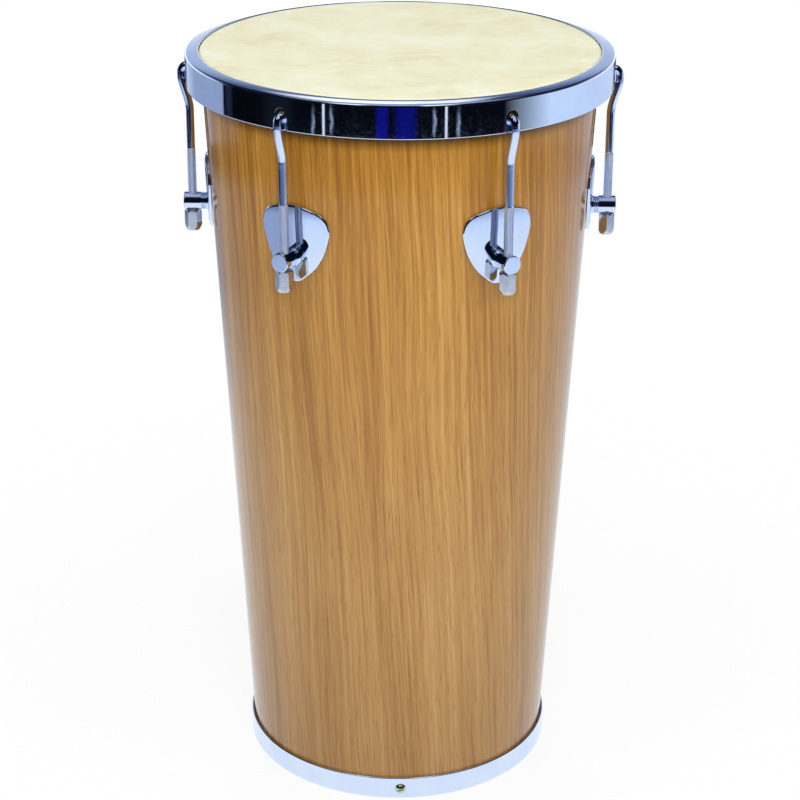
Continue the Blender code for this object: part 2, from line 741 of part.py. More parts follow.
def build():
    fixed = add_object("drum_axis", None)
    moving = add_object("head_axis", None)
    lugs = lug_azimuths()
    screws = ring_screw_azimuths()

    finish(make_shell(), "shell", WOOD, fixed)
    finish(make_bottom_ring(), "bottom_ring", CHROME, fixed)
    finish(make_head_skin(), "head_skin", HIDE, moving)
    finish(make_flesh_hoop(), "flesh_hoop", STEEL, moving)
    finish(make_counterhoop(), "counterhoop", CHROME, moving)

    plate_frames = [radial_frame(shell_radius(LUG_HEIGHT), azimuth, LUG_HEIGHT) for azimuth in lugs]
    washer_frames = [radial_frame(washer_seat(), azimuth, LUG_HEIGHT) for azimuth in lugs]
    under_head = washer_seat() - WASHER - CLEARANCE
    bolt_frames = [radial_frame(under_head, azimuth, LUG_HEIGHT) for azimuth in lugs]
    hook_frames = [Matrix.Rotation(azimuth, 4, "Z") for azimuth in lugs]
    nut_middle = NUT_TOP - NUT_LENGTH / 2
    nut_frames = []
    for azimuth, turn in zip(lugs, NUT_TURNS):
        place = Matrix.Translation(polar(ROD_RADIUS, azimuth, nut_middle))
        nut_frames.append(place @ Matrix.Rotation(azimuth + math.radians(turn), 4, "Z"))
    repeated(make_lug_plate(), "lug_plate", plate_frames, CHROME, fixed)
    repeated(make_lug_post(), "lug_post", plate_frames, CHROME, fixed)
    repeated(make_washer(), "lug_washer", washer_frames, STEEL, fixed)
    repeated(make_bolt(), "lug_bolt", bolt_frames, STEEL, fixed)
    repeated(make_hook(), "tension_hook", hook_frames, CHROME, moving)
    repeated(make_tuning_nut(), "tuning_nut", nut_frames, CHROME, fixed)

    head_face = RING_OUTSIDE + CLEARANCE
    nut_place = ring_nut_seat() - RING_NUT / 2
    screw_frames = [radial_frame(head_face, azimuth, RING_SCREW_HEIGHT) for azimuth in screws]
    ring_nut_frames = [radial_frame(nut_place, azimuth, RING_SCREW_HEIGHT) for azimuth in screws]
    repeated(make_ring_screw(), "ring_screw", screw_frames, YELLOW_ZINC, fixed)
    repeated(make_ring_nut(), "ring_nut", ring_nut_frames, STEEL, fixed)


build()
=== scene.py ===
"""Looks of a rebolo drum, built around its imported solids.

Metres, +Z up. Azimuth 0 faces -Y, and azimuths grow toward +X.
"""

import math
from contextlib import contextmanager

import bmesh
import bpy
import numpy as np
from mathutils import Matrix, Vector


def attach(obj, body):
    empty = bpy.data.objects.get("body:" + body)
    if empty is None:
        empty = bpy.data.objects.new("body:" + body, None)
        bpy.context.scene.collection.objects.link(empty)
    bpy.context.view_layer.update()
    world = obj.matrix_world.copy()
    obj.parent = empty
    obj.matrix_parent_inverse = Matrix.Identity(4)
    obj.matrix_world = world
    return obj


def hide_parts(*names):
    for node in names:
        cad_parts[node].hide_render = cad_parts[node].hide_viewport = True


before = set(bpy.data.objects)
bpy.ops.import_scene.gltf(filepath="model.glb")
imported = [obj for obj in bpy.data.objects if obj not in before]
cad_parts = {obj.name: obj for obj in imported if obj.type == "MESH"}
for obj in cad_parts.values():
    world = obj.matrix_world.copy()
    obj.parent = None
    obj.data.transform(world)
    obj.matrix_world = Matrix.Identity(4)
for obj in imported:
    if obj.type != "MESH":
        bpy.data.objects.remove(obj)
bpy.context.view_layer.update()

# Fit between pieces that touch
CLEARANCE = 0.0003

# Shell
HEIGHT = 0.500
SHELL_BOTTOM_RADIUS = 0.1027
SHELL_TOP_RADIUS = 0.1291
SHELL_WALL = 0.008
SHELL_FOOT_ROUND = 0.0006
SHELL_EDGE_MARGIN = 0.0008
BEARING_ROUND = 0.0025
BEARING_FLAT = 0.0010

# Head
SKIN = 0.0008
COLLAR = 0.0014
FLESH_WIRE = 0.0040
TUCK_ANGLE = math.radians(305)

# Counterhoop
HOOP_SHEET = 0.0013
HOOP_DEPTH = 0.0222
HOOP_FALL = 0.0008
HOOP_CORNER = 0.0017
HOOP_SIDE_GAP = 0.0017
HOOK_HOLE = 0.0082
HOOK_HOLE_DROP = 0.0124
HOLE_ROUND = 0.0006
FLANGE_CROWN = 0.00008

# Lugs and tuning hooks
LUG_COUNT = 6
LUG_START = math.radians(30)
LUG_BELOW_HEAD = 0.105
ROD = 0.0053
ROD_THREAD = 0.0060
ROD_THREAD_LENGTH = 0.0547
ROD_INSET = 0.0014
ROD_FIT = 0.0003
THREAD_PITCH = 0.0010
THREAD_DEPTH = 0.0006
THREAD_END = 0.0009
THREAD_STEEPNESS = 1.3
HOOK_PLAY = 0.0008
HOOK_JOG = 0.0240
HOOK_JOG_RISE = 0.0035
HOOK_TAIL = 0.0030
HOOK_TAIL_ROUND = 0.0006
POST = 0.0120
POST_REACH = 0.0055
POST_CHAMFER = 0.0006
POST_RING_COUNT = 3
POST_RING_PITCH = 0.0011
POST_RING_DEPTH = 0.0005
POST_RING_GAP = 0.0058
POST_RING_MARGIN = 0.0012
NUT_SEAT = 0.0006
NUT_FLATS = 0.0100
NUT_LENGTH = 0.0140
NUT_CHAMFER = 0.0012
NUT_END = 0.0036
NUT_END_INSET = 0.0014
NUT_END_ROUND = 0.0005
NUT_TURNS = (0, 0, 20, 12, 30, 30)
ROD_END_INSET = 0.0012

# Lug plate
PLATE_WIDTH = 0.0480
PLATE_RISE = 0.0333
PLATE_DROP = 0.0170
PLATE_PROUD = 0.0032
PLATE_RADIUS_ACROSS = 0.080
PLATE_RADIUS_UP = 0.600
PLATE_DOME_DEPTH = 0.060
PLATE_EDGE_ROUND = 0.0011
PLATE_OUTLINE = (
    (0.00, 1.00), (0.50, 0.94), (0.87, 0.81), (1.00, 0.62),
    (0.955, 0.33), (0.73, -0.14), (0.39, -0.69), (0.00, -1.00),
)

# Bolts inside the shell
BOLT = 0.0050
BOLT_HEAD_FLATS = 0.0080
BOLT_HEAD = 0.0035
BOLT_CHAMFER = 0.0006
BOLT_WALL = 0.0010
WASHER_DIAMETER = 0.0150
WASHER = 0.0012
EDGE_BREAK = 0.00015

# Bottom ring
RING_HEIGHT = 0.0165
RING_SHEET = 0.0017
RING_CORNER = 0.0022
RING_LIP = 0.0080
RING_SCREW_COUNT = 3
RING_SCREW_START = math.radians(2.3)
RING_SCREW = 0.0040
RING_SCREW_HEIGHT = 0.0082
RING_SCREW_HEAD = 0.0073
RING_SCREW_HEAD_RISE = 0.0022
RING_SCREW_SLOT = 0.0009
RING_SCREW_SLOT_DEPTH = 0.0010
RING_SCREW_TURN = math.radians(15)
RING_SCREW_SPARE = 0.0010
RING_SCREW_POINT = 0.0004
RING_NUT_FLATS = 0.0070
RING_NUT = 0.0032
RING_NUT_CHAMFER = 0.0005

# Facets and tolerances
TURN_STEPS = 256
SMALL_STEPS = 64
ROD_SIDES = 20
THREAD_STEP = THREAD_PITCH / 8
THREAD_TO_PLAIN = 0.0004
PLAIN_TO_JOG = 0.0010
SHELL_LOOPS = (0.30, 0.20, 0.10)
SKIN_LOOPS = (0.0, 0.03, 0.06, 0.09, 0.115)
SOLID_SHELL_STEPS = 48
SHARP = math.radians(28)
BEVEL_ANGLE = math.radians(40)
HEXAGON_BEVEL_ANGLE = math.radians(18)
ON_SURFACE = math.radians(6)
MERGE = 0.000002
TINY = 1e-9
FACES_AT_ONCE = 4096

# Worked-out heights and radii
TAPER = (SHELL_TOP_RADIUS - SHELL_BOTTOM_RADIUS) / HEIGHT
SHELL_TOP = HEIGHT - SKIN - CLEARANCE
SHELL_FOOT = RING_SHEET + CLEARANCE
ROUND_HEIGHT = SHELL_TOP - BEARING_ROUND
ROUND_RADIUS = SHELL_BOTTOM_RADIUS + TAPER * ROUND_HEIGHT - BEARING_ROUND
WRAP_MIDDLE = FLESH_WIRE / 2 + CLEARANCE + SKIN / 2
WRAP_OUTSIDE = WRAP_MIDDLE + SKIN / 2
WIRE_RADIUS = ROUND_RADIUS + BEARING_ROUND + CLEARANCE + SKIN / 2 + WRAP_MIDDLE
WIRE_HEIGHT = ROUND_HEIGHT - COLLAR
BAND_INSIDE = WIRE_RADIUS + WRAP_OUTSIDE + HOOP_SIDE_GAP
BAND_MIDDLE = BAND_INSIDE + HOOP_SHEET / 2
BAND_OUTSIDE = BAND_INSIDE + HOOP_SHEET
FLANGE_SLOPE = math.atan2(HOOP_FALL, BAND_OUTSIDE - HOOP_CORNER - ROUND_RADIUS - BEARING_ROUND)
LUG_HEIGHT = HEIGHT - LUG_BELOW_HEAD
LUG_RADIUS = SHELL_BOTTOM_RADIUS + TAPER * LUG_HEIGHT
ROD_RADIUS = BAND_OUTSIDE - ROD_INSET
ROD_BORE = ROD_THREAD + 2 * ROD_FIT
HOOK_INSIDE = HOOP_SHEET / 2 + HOOK_PLAY
HOOK_BEND = HOOK_INSIDE + ROD / 2
POST_END = ROD_RADIUS + POST_REACH
BOLT_BORE = BOLT + 2 * CLEARANCE
BOLT_BORE_END = ROD_RADIUS - ROD_BORE / 2 - BOLT_WALL
NUT_TOP = LUG_HEIGHT - POST / 2 + NUT_SEAT - CLEARANCE
NUT_BOTTOM = NUT_TOP - NUT_LENGTH
ROD_END = NUT_BOTTOM + ROD_END_INSET
THREAD_TOP = ROD_END + ROD_THREAD_LENGTH
RING_INSIDE = SHELL_BOTTOM_RADIUS + TAPER * RING_HEIGHT + CLEARANCE
RING_MIDDLE = RING_INSIDE + RING_SHEET / 2
RING_OUTSIDE = RING_INSIDE + RING_SHEET
RING_SCREW_BORE = RING_SCREW + 2 * CLEARANCE
APEX_DROP = SHELL_BOTTOM_RADIUS / TAPER

# Camera, from the photograph's vanishing lines and rims
CAMERA_AZIMUTH = math.radians(1.0)
CAMERA_DISTANCE = 1.40446
CAMERA_HEIGHT = 0.84777
CAMERA_PITCH = 0.400636
CAMERA_ROLL = 0.004589
CAMERA_YAW = 0.000609
CAMERA_LENS = 99.97
CAMERA_SENSOR = 36.0

# Veneer: heights where painted shade turns it from pale to golden and where the painted shade at its foot
# fades, how far below the hoop its painted shadow ends and is full, and two plies of the shell
PALE_TO_GOLDEN = (0.17, 0.43)
FOOT_SHADE = (0.02, 0.16)
HOOP_SHADOW = (0.0110, 0.0015)
PLY_PAIR = 0.0027

# Studio: floor, even light and colours
FLOOR_RADIUS = 1.5
FLOOR_LOOPS = (FLOOR_RADIUS, 0.6, 0.2, 0.0)
FLOOR_DROP = 0.0004
AMBIENT = 0.42
ROOM_GLOW = 0.4
WHITE = (1.0, 1.0, 1.0, 1.0)
GREY = (170, 185, 205)
GLARE = (245, 250, 255)

# Lamps: place, height that it aims at on the drum's axis, width, depth and power
LAMPS = {
    "key": ((0.2, -2.05, 1.30), 0.40, 1.2, 0.9, 25),
    "left": ((-1.75, -1.0, 1.25), 0.35, 0.45, 0.9, 4),
    "right": ((1.80, -0.95, 1.25), 0.35, 0.45, 0.9, 6),
    "top": ((0.0, -0.6, 2.2), 0.5, 1.2, 1.0, 12),
    "back": ((-0.3, 2.05, 1.10), 0.30, 1.4, 1.0, 16),
}

# Bands of the studio that mirrors see, in degrees of azimuth or rise: from, to, and the widths
# of their soft edges
DARK_WALL = (-106, 70, 6, 24)
DARK_WALL_RISE = (-12.4, 40, 1, 5)
LEFT_SHADE = (-150, -100, 20, 8)
LEFT_SHADE_RISE = (-17, -4, 1, 6)
LEFT_BOX = (-46, -24, 3, 3)
RIGHT_BOX = (16, 38, 3, 3)
BOX_RISE = (42, 66, 4, 4)
FRONT_FOOT = (-106, 72, 1.5, 30)
REAR_FOOT = (160, 190, 8, 8)
FOOT_RISE = (-16.7, -12.4, 0.3, 1.0)
STRIP_RISE = (25.6, 31.2, 1.2, 1.6)
STRIP_HAZE_RISE = (31, 60, 2, 12)
GLOW_RISES = ((-3, 7, 2, 2), (25, 66, 1, 4))
FLOOR_SHADE = (-160, -56, 10, 20)

# Gaps in the studio's dark foot: azimuth and width in degrees, colour, waviness in degrees,
# and lowest and highest rise
STUDIO_GAPS = (
    (-101, 5, (34, 40, 58), 0.0, -18.0, -12.0),
    (-66, 16, (20, 25, 33), 0.0, -18.0, -12.0),
    (-45.0, 1.1, GREY, 0.6, -16.20, -15.65),
    (-39.2, 1.2, GLARE, 0.0, -18.0, -12.0),
    (-34.8, 1.1, GREY, 0.6, -16.10, -15.55),
    (-8.2, 5.6, (14, 18, 124), 0.0, -18.0, -12.0),
    (3.9, 9.6, (12, 16, 112), 0.0, -18.0, -12.0),
    (19.0, 1.1, GREY, 0.6, -16.15, -15.55),
    (25.0, 1.2, GLARE, 0.0, -18.0, -12.0),
    (31.5, 1.2, GREY, 0.6, -16.25, -15.65),
)

# Swing of the wavy gaps, in radians for each degree of rise
GAP_SWING = 14.0


def evenly(count, start):
    """Azimuths spaced evenly round the drum."""
    return [start + math.tau * i / count for i in range(count)]


LUG_AZIMUTHS = evenly(LUG_COUNT, LUG_START)
RING_SCREW_AZIMUTHS = evenly(RING_SCREW_COUNT, RING_SCREW_START)


def shell_radius(height):
    return SHELL_BOTTOM_RADIUS + TAPER * height


def flange_height(radius):
    """Height of the middle of the flange's sheet."""
    over_wire = WRAP_OUTSIDE + CLEARANCE + HOOP_SHEET / 2
    at_wire = WIRE_HEIGHT + over_wire / math.cos(FLANGE_SLOPE)
    return at_wire + (WIRE_RADIUS - radius) * math.tan(FLANGE_SLOPE)


def lip_radius():
    """Inner edge of the flange, which clears the skin's bend."""
    skin_corner = BEARING_ROUND + SKIN + 2 * CLEARANCE
    rise = flange_height(ROUND_RADIUS + skin_corner) - HOOP_SHEET / 2 - ROUND_HEIGHT
    return ROUND_RADIUS + math.sqrt(max(skin_corner ** 2 - rise ** 2, 0.0))


def hook_bend_height():
    """Centre of the hook's bend, whose inside just clears the lower edge of its hole."""
    drop = math.sqrt((HOOK_INSIDE - CLEARANCE) ** 2 - (HOOP_SHEET / 2) ** 2)
    return HOOK_HOLE_HEIGHT - HOOK_HOLE / 2 - drop


LIP_RADIUS = lip_radius()
HOOP_TOP = flange_height(LIP_RADIUS) + HOOP_SHEET / 2
HOOP_BOTTOM = HOOP_TOP - HOOP_DEPTH
HOOK_HOLE_HEIGHT = HOOP_TOP - HOOK_HOLE_DROP


def corner_radius(flats):
    """From a hexagon's middle to its corners, by its size across flats."""
    return flats / math.sqrt(3)


def polar(radius, azimuth, height):
    return Vector((radius * math.sin(azimuth), -radius * math.cos(azimuth), height))


def radial_frame(radius, azimuth, height):
    """Local Z points out of the drum, local Y up, local X round it."""
    turn = Matrix.Rotation(azimuth, 4, "Z") @ Matrix.Rotation(math.pi / 2, 4, "X")
    return Matrix.Translation(polar(radius, azimuth, height)) @ turn


def radial_frames(radius, azimuths, height):
    return [radial_frame(radius, azimuth, height) for azimuth in azimuths]


LUG_PLACES = radial_frames(LUG_RADIUS, LUG_AZIMUTHS, LUG_HEIGHT)


def arc(centre, radius, start, end, steps):
    """Points of an arc in the (radius, height) plane, both ends included."""
    points = []
    for i in range(steps + 1):
        angle = start + (end - start) * i / steps
        points.append((centre[0] + radius * math.cos(angle), centre[1] + radius * math.sin(angle)))
    return points


def round_end(tip, heading, radius, steps):
    """Half circle round the end of a sheet that runs on a heading up to its tip."""
    centre = (tip[0] - radius * math.cos(heading), tip[1] - radius * math.sin(heading))
    return arc(centre, radius, heading + math.pi / 2, heading - math.pi / 2, steps)


def thicken(path, thickness, end_steps=0):
    """Closed outline of a sheet whose middle runs along a path, with round ends if asked."""
    half = thickness / 2
    left, right, headings = [], [], []
    for i, point in enumerate(path):
        here = Vector(point)
        before = Vector(path[max(i - 1, 0)])
        after = Vector(path[min(i + 1, len(path) - 1)])
        into = (here - before).normalized() if i > 0 else (after - here).normalized()
        out = (after - here).normalized() if i < len(path) - 1 else into
        normal = Vector((-into.y - out.y, into.x + out.x)).normalized()
        reach = half / max(normal.dot(Vector((-into.y, into.x))), 0.3)
        left.append(tuple(here + normal * reach))
        right.append(tuple(here - normal * reach))
        headings.append(math.atan2(into.y, into.x))
    if not end_steps:
        return left + right[::-1]
    last = round_end(path[-1], headings[-1], half, end_steps)
    first = round_end(path[0], headings[0] - math.pi, half, end_steps)
    return left[1:-1] + last + right[-2:0:-1] + first


def counter_clockwise(outline):
    area = 0.0
    for (x0, z0), (x1, z1) in zip(outline, outline[1:] + outline[:1]):
        area += x0 * z1 - x1 * z0
    return outline if area > 0 else outline[::-1]


@contextmanager
def shaping(mesh):
    """Opens a mesh for bmesh work, and writes it back."""
    shape = bmesh.new()
    shape.from_mesh(mesh)
    yield shape
    shape.to_mesh(mesh)
    shape.free()


def smooth(mesh, angle=SHARP):
    mesh.shade_smooth()
    mesh.set_sharp_from_angle(angle=angle)


def mesh_from(name, points, faces):
    mesh = bpy.data.meshes.new(name)
    mesh.from_pydata([tuple(p) for p in points], [], faces)
    with shaping(mesh) as shape:
        bmesh.ops.remove_doubles(shape, verts=shape.verts, dist=MERGE)
    smooth(mesh)
    return mesh


def add_object(name, data, place=None):
    obj = bpy.data.objects.new(name, data)
    bpy.context.scene.collection.objects.link(obj)
    if place is not None:
        obj.matrix_world = place
    return obj


def add_primitive(name, create, place=None, **sizes):
    """An object made by one of bmesh's own functions."""
    mesh = bpy.data.meshes.new(name)
    with shaping(mesh) as shape:
        create(shape, **sizes)
    return add_object(name, mesh, place)


def rod(name, diameter, length, place=None, sides=SMALL_STEPS):
    """A cylinder along Z, centred on its origin."""
    made = add_primitive(
        name, bmesh.ops.create_cone, place, cap_ends=True, segments=sides,
        radius1=diameter / 2, radius2=diameter / 2, depth=length)
    smooth(made.data)
    return made


def bores(diameter, azimuths, height, middle, reach, sides=32):
    """Round cutters that point out of the drum, reaching as far in from a middle radius as out."""
    return [
        rod("bore", diameter, 2 * reach, place, sides)
        for place in radial_frames(middle, azimuths, height)]


def ring_faces(rows, columns, closed):
    """Quads of a grid that wraps round its columns, and its rows too if closed."""
    faces = []
    for i in range(rows if closed else rows - 1):
        k = (i + 1) % rows
        for j in range(columns):
            n = (j + 1) % columns
            faces.append((i * columns + j, i * columns + n, k * columns + n, k * columns + j))
    return faces


def turned(name, outline, steps=TURN_STEPS, closed=True):
    """A body of revolution about Z from an outline of (radius, height) points."""
    outline = counter_clockwise(outline)
    angles = np.arange(steps) * math.tau / steps
    points = []
    for radius, height in outline:
        points.extend(zip(radius * np.sin(angles), -radius * np.cos(angles), np.full(steps, height)))
    return add_object(name, mesh_from(name, points, ring_faces(len(outline), steps, closed)))


def evaluated_mesh(obj):
    """A new mesh of an object, with its modifiers or its curve worked out."""
    bpy.context.view_layer.update()
    depsgraph = bpy.context.evaluated_depsgraph_get()
    return bpy.data.meshes.new_from_object(obj.evaluated_get(depsgraph))


def apply_modifiers(obj):
    mesh = evaluated_mesh(obj)
    obj.modifiers.clear()
    obj.data = mesh


def cut(obj, cutters, operation="DIFFERENCE"):
    """Cuts, crops or joins an object with others in one go, and clears them away."""
    bpy.context.view_layer.update()
    mesh = bpy.data.meshes.new("cutter")
    with shaping(mesh) as shape:
        for cutter in cutters:
            part = cutter.data.copy()
            part.transform(cutter.matrix_world)
            shape.from_mesh(part)
            bpy.data.objects.remove(cutter)
    tool = add_object("cutter", mesh)
    modifier = obj.modifiers.new("cut", "BOOLEAN")
    modifier.operation = operation
    modifier.solver = "EXACT"
    modifier.object = tool
    apply_modifiers(obj)
    smooth(obj.data)
    bpy.data.objects.remove(tool)


def bevel(obj, width, angle=BEVEL_ANGLE, segments=3):
    """Rounds the edges that are sharper than an angle, and keeps the faces beside them flat."""
    smooth(obj.data, angle)
    modifier = obj.modifiers.new("edges", "BEVEL")
    modifier.harden_normals = True
    modifier.width = width
    modifier.segments = segments
    modifier.limit_method = "ANGLE"
    modifier.angle_limit = angle
    apply_modifiers(obj)


def read(items, field, size, kind=float):
    """One property of all items of a mesh, in an array with a row for each."""
    values = np.empty(len(items) * size, kind)
    items.foreach_get(field, values)
    return values.reshape(-1, size)


def unit_rows(rows):
    return rows / np.linalg.norm(rows, axis=1)[:, None]


def half_plane(points):
    """(radius, height) of each point."""
    return np.stack([np.hypot(points[:, 0], points[:, 1]), points[:, 2]], axis=1)


def faced_out(points, flat):
    """Turns each (out, up) pair to the direction that faces out of the axis at its point."""
    away = points[:, :2] / np.maximum(half_plane(points)[:, :1], TINY)
    return np.concatenate([away * flat[:, :1], flat[:, 1:]], axis=1)


def joint_normals(flat, length, step, closed):
    """Normals at one end of an outline's segments, shared with the neighbour where the turn is soft."""
    beside = np.roll(flat, step, axis=0)
    if not closed:
        edge = 0 if step > 0 else -1
        beside[edge] = flat[edge]
    weight = length[:, None] ** 2
    shared = flat * weight + beside * np.roll(weight, step, axis=0)
    soft = (flat * beside).sum(1) > math.cos(SHARP)
    return unit_rows(np.where(soft[:, None], shared, flat))


def exact_normals(obj, outline, closed=True):
    """Gives the faces that still lie on a turned surface its true normals, so that mirrors stay clean."""
    mesh = obj.data
    starts = np.array(counter_clockwise(outline), float)
    along = np.roll(starts, -1, axis=0) - starts
    if not closed:
        starts, along = starts[:-1], along[:-1]
    length = np.maximum(np.linalg.norm(along, axis=1), TINY)
    unit = along / length[:, None]
    flat = np.stack([unit[:, 1], -unit[:, 0]], axis=1)
    first, last = [joint_normals(flat, length, step, closed) for step in (1, -1)]

    centres = read(mesh.polygons, "center", 3)
    plane = half_plane(centres)
    nearest = np.zeros(len(plane), int)
    for low in range(0, len(plane), FACES_AT_ONCE):
        part = plane[low:low + FACES_AT_ONCE, None, :] - starts
        share = np.clip((part * unit).sum(2) / length, 0, 1)
        gap = np.linalg.norm(part - share[..., None] * along, axis=2)
        nearest[low:low + FACES_AT_ONCE] = gap.argmin(axis=1)
    ideal = faced_out(centres, flat[nearest])
    lies_on = (ideal * read(mesh.polygons, "normal", 3)).sum(1) > math.cos(ON_SURFACE)

    sizes = read(mesh.polygons, "loop_total", 1, int)[:, 0]
    segment = np.repeat(nearest, sizes)
    corners = read(mesh.vertices, "co", 3)[read(mesh.loops, "vertex_index", 1, int)[:, 0]]
    spots = half_plane(corners)
    share = ((spots - starts[segment]) * unit[segment]).sum(1) / length[segment]
    share = np.clip(share, 0, 1)[:, None]
    true = faced_out(corners, unit_rows(first[segment] * (1 - share) + last[segment] * share))
    use = np.repeat(lies_on, sizes) & (spots[:, 0] > MERGE)
    normals = read(mesh.corner_normals, "vector", 3, np.float32)
    normals[use] = true[use]
    mesh.normals_split_custom_set([tuple(n) for n in normals])


def linear(color):
    """A colour with its alpha as it is, or a linear one from the 0 to 255 values of a picture."""
    if len(color) == 4:
        return color
    shares = [value / 255 for value in color]
    return (*(s / 12.92 if s <= 0.04045 else ((s + 0.055) / 1.055) ** 2.4 for s in shares), 1.0)


class Wire:
    """An output of a shader's nodes. Sums on it add the nodes that work them out."""

    def __init__(self, socket):
        self.socket = socket
        self.tree = socket.id_data

    def apply(self, operation, *others):
        node = self.tree.nodes.new("ShaderNodeMath")
        node.operation = operation
        for socket, value in zip(node.inputs, (self, *others)):
            feed(socket, value)
        return Wire(node.outputs[0])

    def __add__(self, other):
        return self.apply("ADD", other)

    def __sub__(self, other):
        return self.apply("SUBTRACT", other)

    def __mul__(self, other):
        return self.apply("MULTIPLY", other)

    def __truediv__(self, other):
        return self.apply("DIVIDE", other)


def feed(socket, value):
    """Links a wire into a socket, or sets its number or colour."""
    if isinstance(value, Wire):
        value.tree.links.new(value.socket, socket)
    else:
        socket.default_value = linear(value) if isinstance(value, tuple) else value


def feed_all(node, **values):
    """Feeds a node's inputs by name, with an underscore for each space."""
    for name, value in values.items():
        feed(node.inputs[name.replace("_", " ")], value)
    return node


def add_node(tree, kind, output=0, **values):
    """Adds a node that is fed some values, and returns one of its outputs."""
    return Wire(feed_all(tree.nodes.new(kind), **values).outputs[output])


def noise(place, scale=1.0, detail=2.0, roughness=0.5, distortion=0.0):
    return add_node(
        place.tree, "ShaderNodeTexNoise", "Fac", Vector=place, Scale=scale, Detail=detail,
        Roughness=roughness, Distortion=distortion)


def vector(x, y, z):
    return add_node(x.tree, "ShaderNodeCombineXYZ", X=x, Y=y, Z=z)


def ramp(share, *stops):
    """Colours from a value, through stops of (position, colour)."""
    node = feed_all(share.tree.nodes.new("ShaderNodeValToRGB"), Fac=share)
    while len(node.color_ramp.elements) < len(stops):
        node.color_ramp.elements.new(0.5)
    for element, (position, color) in zip(node.color_ramp.elements, stops):
        element.position = position
        element.color = linear(color)
    return Wire(node.outputs["Color"])


def spread(share, low, high, out_low=0.0, out_high=1.0):
    """Maps a value from one range to another, clamped."""
    return add_node(
        share.tree, "ShaderNodeMapRange", "Result", Value=share, From_Min=low, From_Max=high,
        To_Min=out_low, To_Max=out_high)


def mixed(share, first, second):
    """A colour between two, by the node's colour sockets."""
    node = share.tree.nodes.new("ShaderNodeMix")
    node.data_type = "RGBA"
    for socket, value in ((node.inputs["Factor"], share), (node.inputs[6], first), (node.inputs[7], second)):
        feed(socket, value)
    return Wire(node.outputs[2])


def blended(share, first, second):
    """A shader between two."""
    node = share.tree.nodes.new("ShaderNodeMixShader")
    for socket, value in zip(node.inputs, (share, first, second)):
        feed(socket, value)
    return Wire(node.outputs[0])


def coordinates(tree, kind="Object"):
    """A place, in a piece's own coordinates or another kind, and its three parts."""
    place = add_node(tree, "ShaderNodeTexCoord", kind)
    parts = feed_all(tree.nodes.new("ShaderNodeSeparateXYZ"), Vector=place).outputs
    return place, [Wire(part) for part in parts]


def from_axis(x, y):
    """Distance from the drum's axis."""
    return (x * x + y * y).apply("SQRT")


def bearing(x, y):
    """Azimuth in radians."""
    return x.apply("ARCTAN2", y * -1.0)


def in_degrees(angle):
    return angle * (180 / math.pi)


def new_material(name):
    """A material, its shader, its piece's own coordinates and their three parts."""
    made = bpy.data.materials.new(name)
    made.use_nodes = True
    return made, made.node_tree.nodes["Principled BSDF"], *coordinates(made.node_tree)


def dress(shader, color, roughness, height, strength, distance):
    """Gives a shader its colour, its roughness and a bump of some strength and depth."""
    dent = add_node(height.tree, "ShaderNodeBump", Strength=strength, Distance=distance, Height=height)
    feed_all(shader, Base_Color=color, Roughness=roughness, Normal=dent)


def unrolled(x, y, z, lean=0.0):
    """Across and along a straight-grained sheet that is wrapped round the shell's cone."""
    half_angle = math.atan(TAPER)
    turn = bearing(x, y) * math.sin(half_angle) + lean
    slant = (z + APEX_DROP) / math.cos(half_angle)
    return slant * turn.apply("SINE"), slant * turn.apply("COSINE")


def grain(across, along, width, length, seed, detail=2.0, roughness=0.5):
    """Noise stretched along the wood, in features of a width and length in metres."""
    place = vector(across * (1 / width), along * (1 / length), seed)
    return noise(place, detail=detail, roughness=roughness)


def veneer():
    """Varnished straight-grained veneer: soft bands, fine streaks, short dark pores; painted shade makes it
    darker and more golden at the top and darker at the foot, and a painted shadow darkens it under the hoop.
    """
    made, shader, _, (x, y, height) = new_material("varnished_veneer")
    across, along = unrolled(x, y, height, lean=0.050)
    across = across + (grain(across, along, 0.090, 0.300, 3.1) - 0.5) * 0.016
    bands = grain(across, along, 0.022, 0.900, 0.4, detail=1.0)
    streaks = grain(across, along, 0.0030, 0.260, 5.7, roughness=0.55)
    fibres = grain(across, along, 0.0012, 0.060, 9.2, roughness=0.6)
    pores = grain(across, along, 0.0008, 0.016, 2.6, detail=1.0)
    lines = (grain(across, along, 0.0060, 0.420, 7.7, detail=1.0) - 0.5).apply("ABSOLUTE")
    tone = bands * 0.26 + streaks * 0.40 + fibres * 0.34
    golden = ramp(
        tone, (0.36, (144, 93, 22)), (0.46, (170, 116, 34)),
        (0.54, (187, 134, 50)), (0.64, (202, 153, 70)))
    pale = ramp(
        tone, (0.36, (158, 112, 54)), (0.46, (178, 132, 70)),
        (0.54, (187, 142, 80)), (0.64, (198, 156, 96)))
    dark = spread(pores, 0.58, 0.72, 0.0, 0.45)
    painted_hoop_shadow = [HOOP_BOTTOM - drop for drop in HOOP_SHADOW]
    # Painted shade: darker and more golden towards the top, for how the light falls on the upper wood
    color = mixed(spread(height, *PALE_TO_GOLDEN), pale, golden)
    for share, shade in (
            (spread(lines, 0.0, 0.030, 0.38, 0.0), (146, 92, 34)),
            (dark, (134, 84, 26)),
            # Painted shade: the veneer darker towards the foot
            (spread(height, *FOOT_SHADE, 0.20, 0.0), (90, 56, 24)),
            # Painted shadow of the hoop on the wood, full behind the hoop, where it also darkens what shows
            # through the hook holes
            (spread(height, *painted_hoop_shadow, 0.0, 0.92), (52, 33, 16))):
        color = mixed(share, color, shade)
    dress(shader, color, spread(streaks, 0.3, 0.7, 0.42, 0.55), fibres - dark, 0.25, 0.0001)
    feed_all(shader, Specular_IOR_Level=0.1, Coat_Weight=1.0, Coat_IOR=1.45, Coat_Roughness=0.06)
    return made


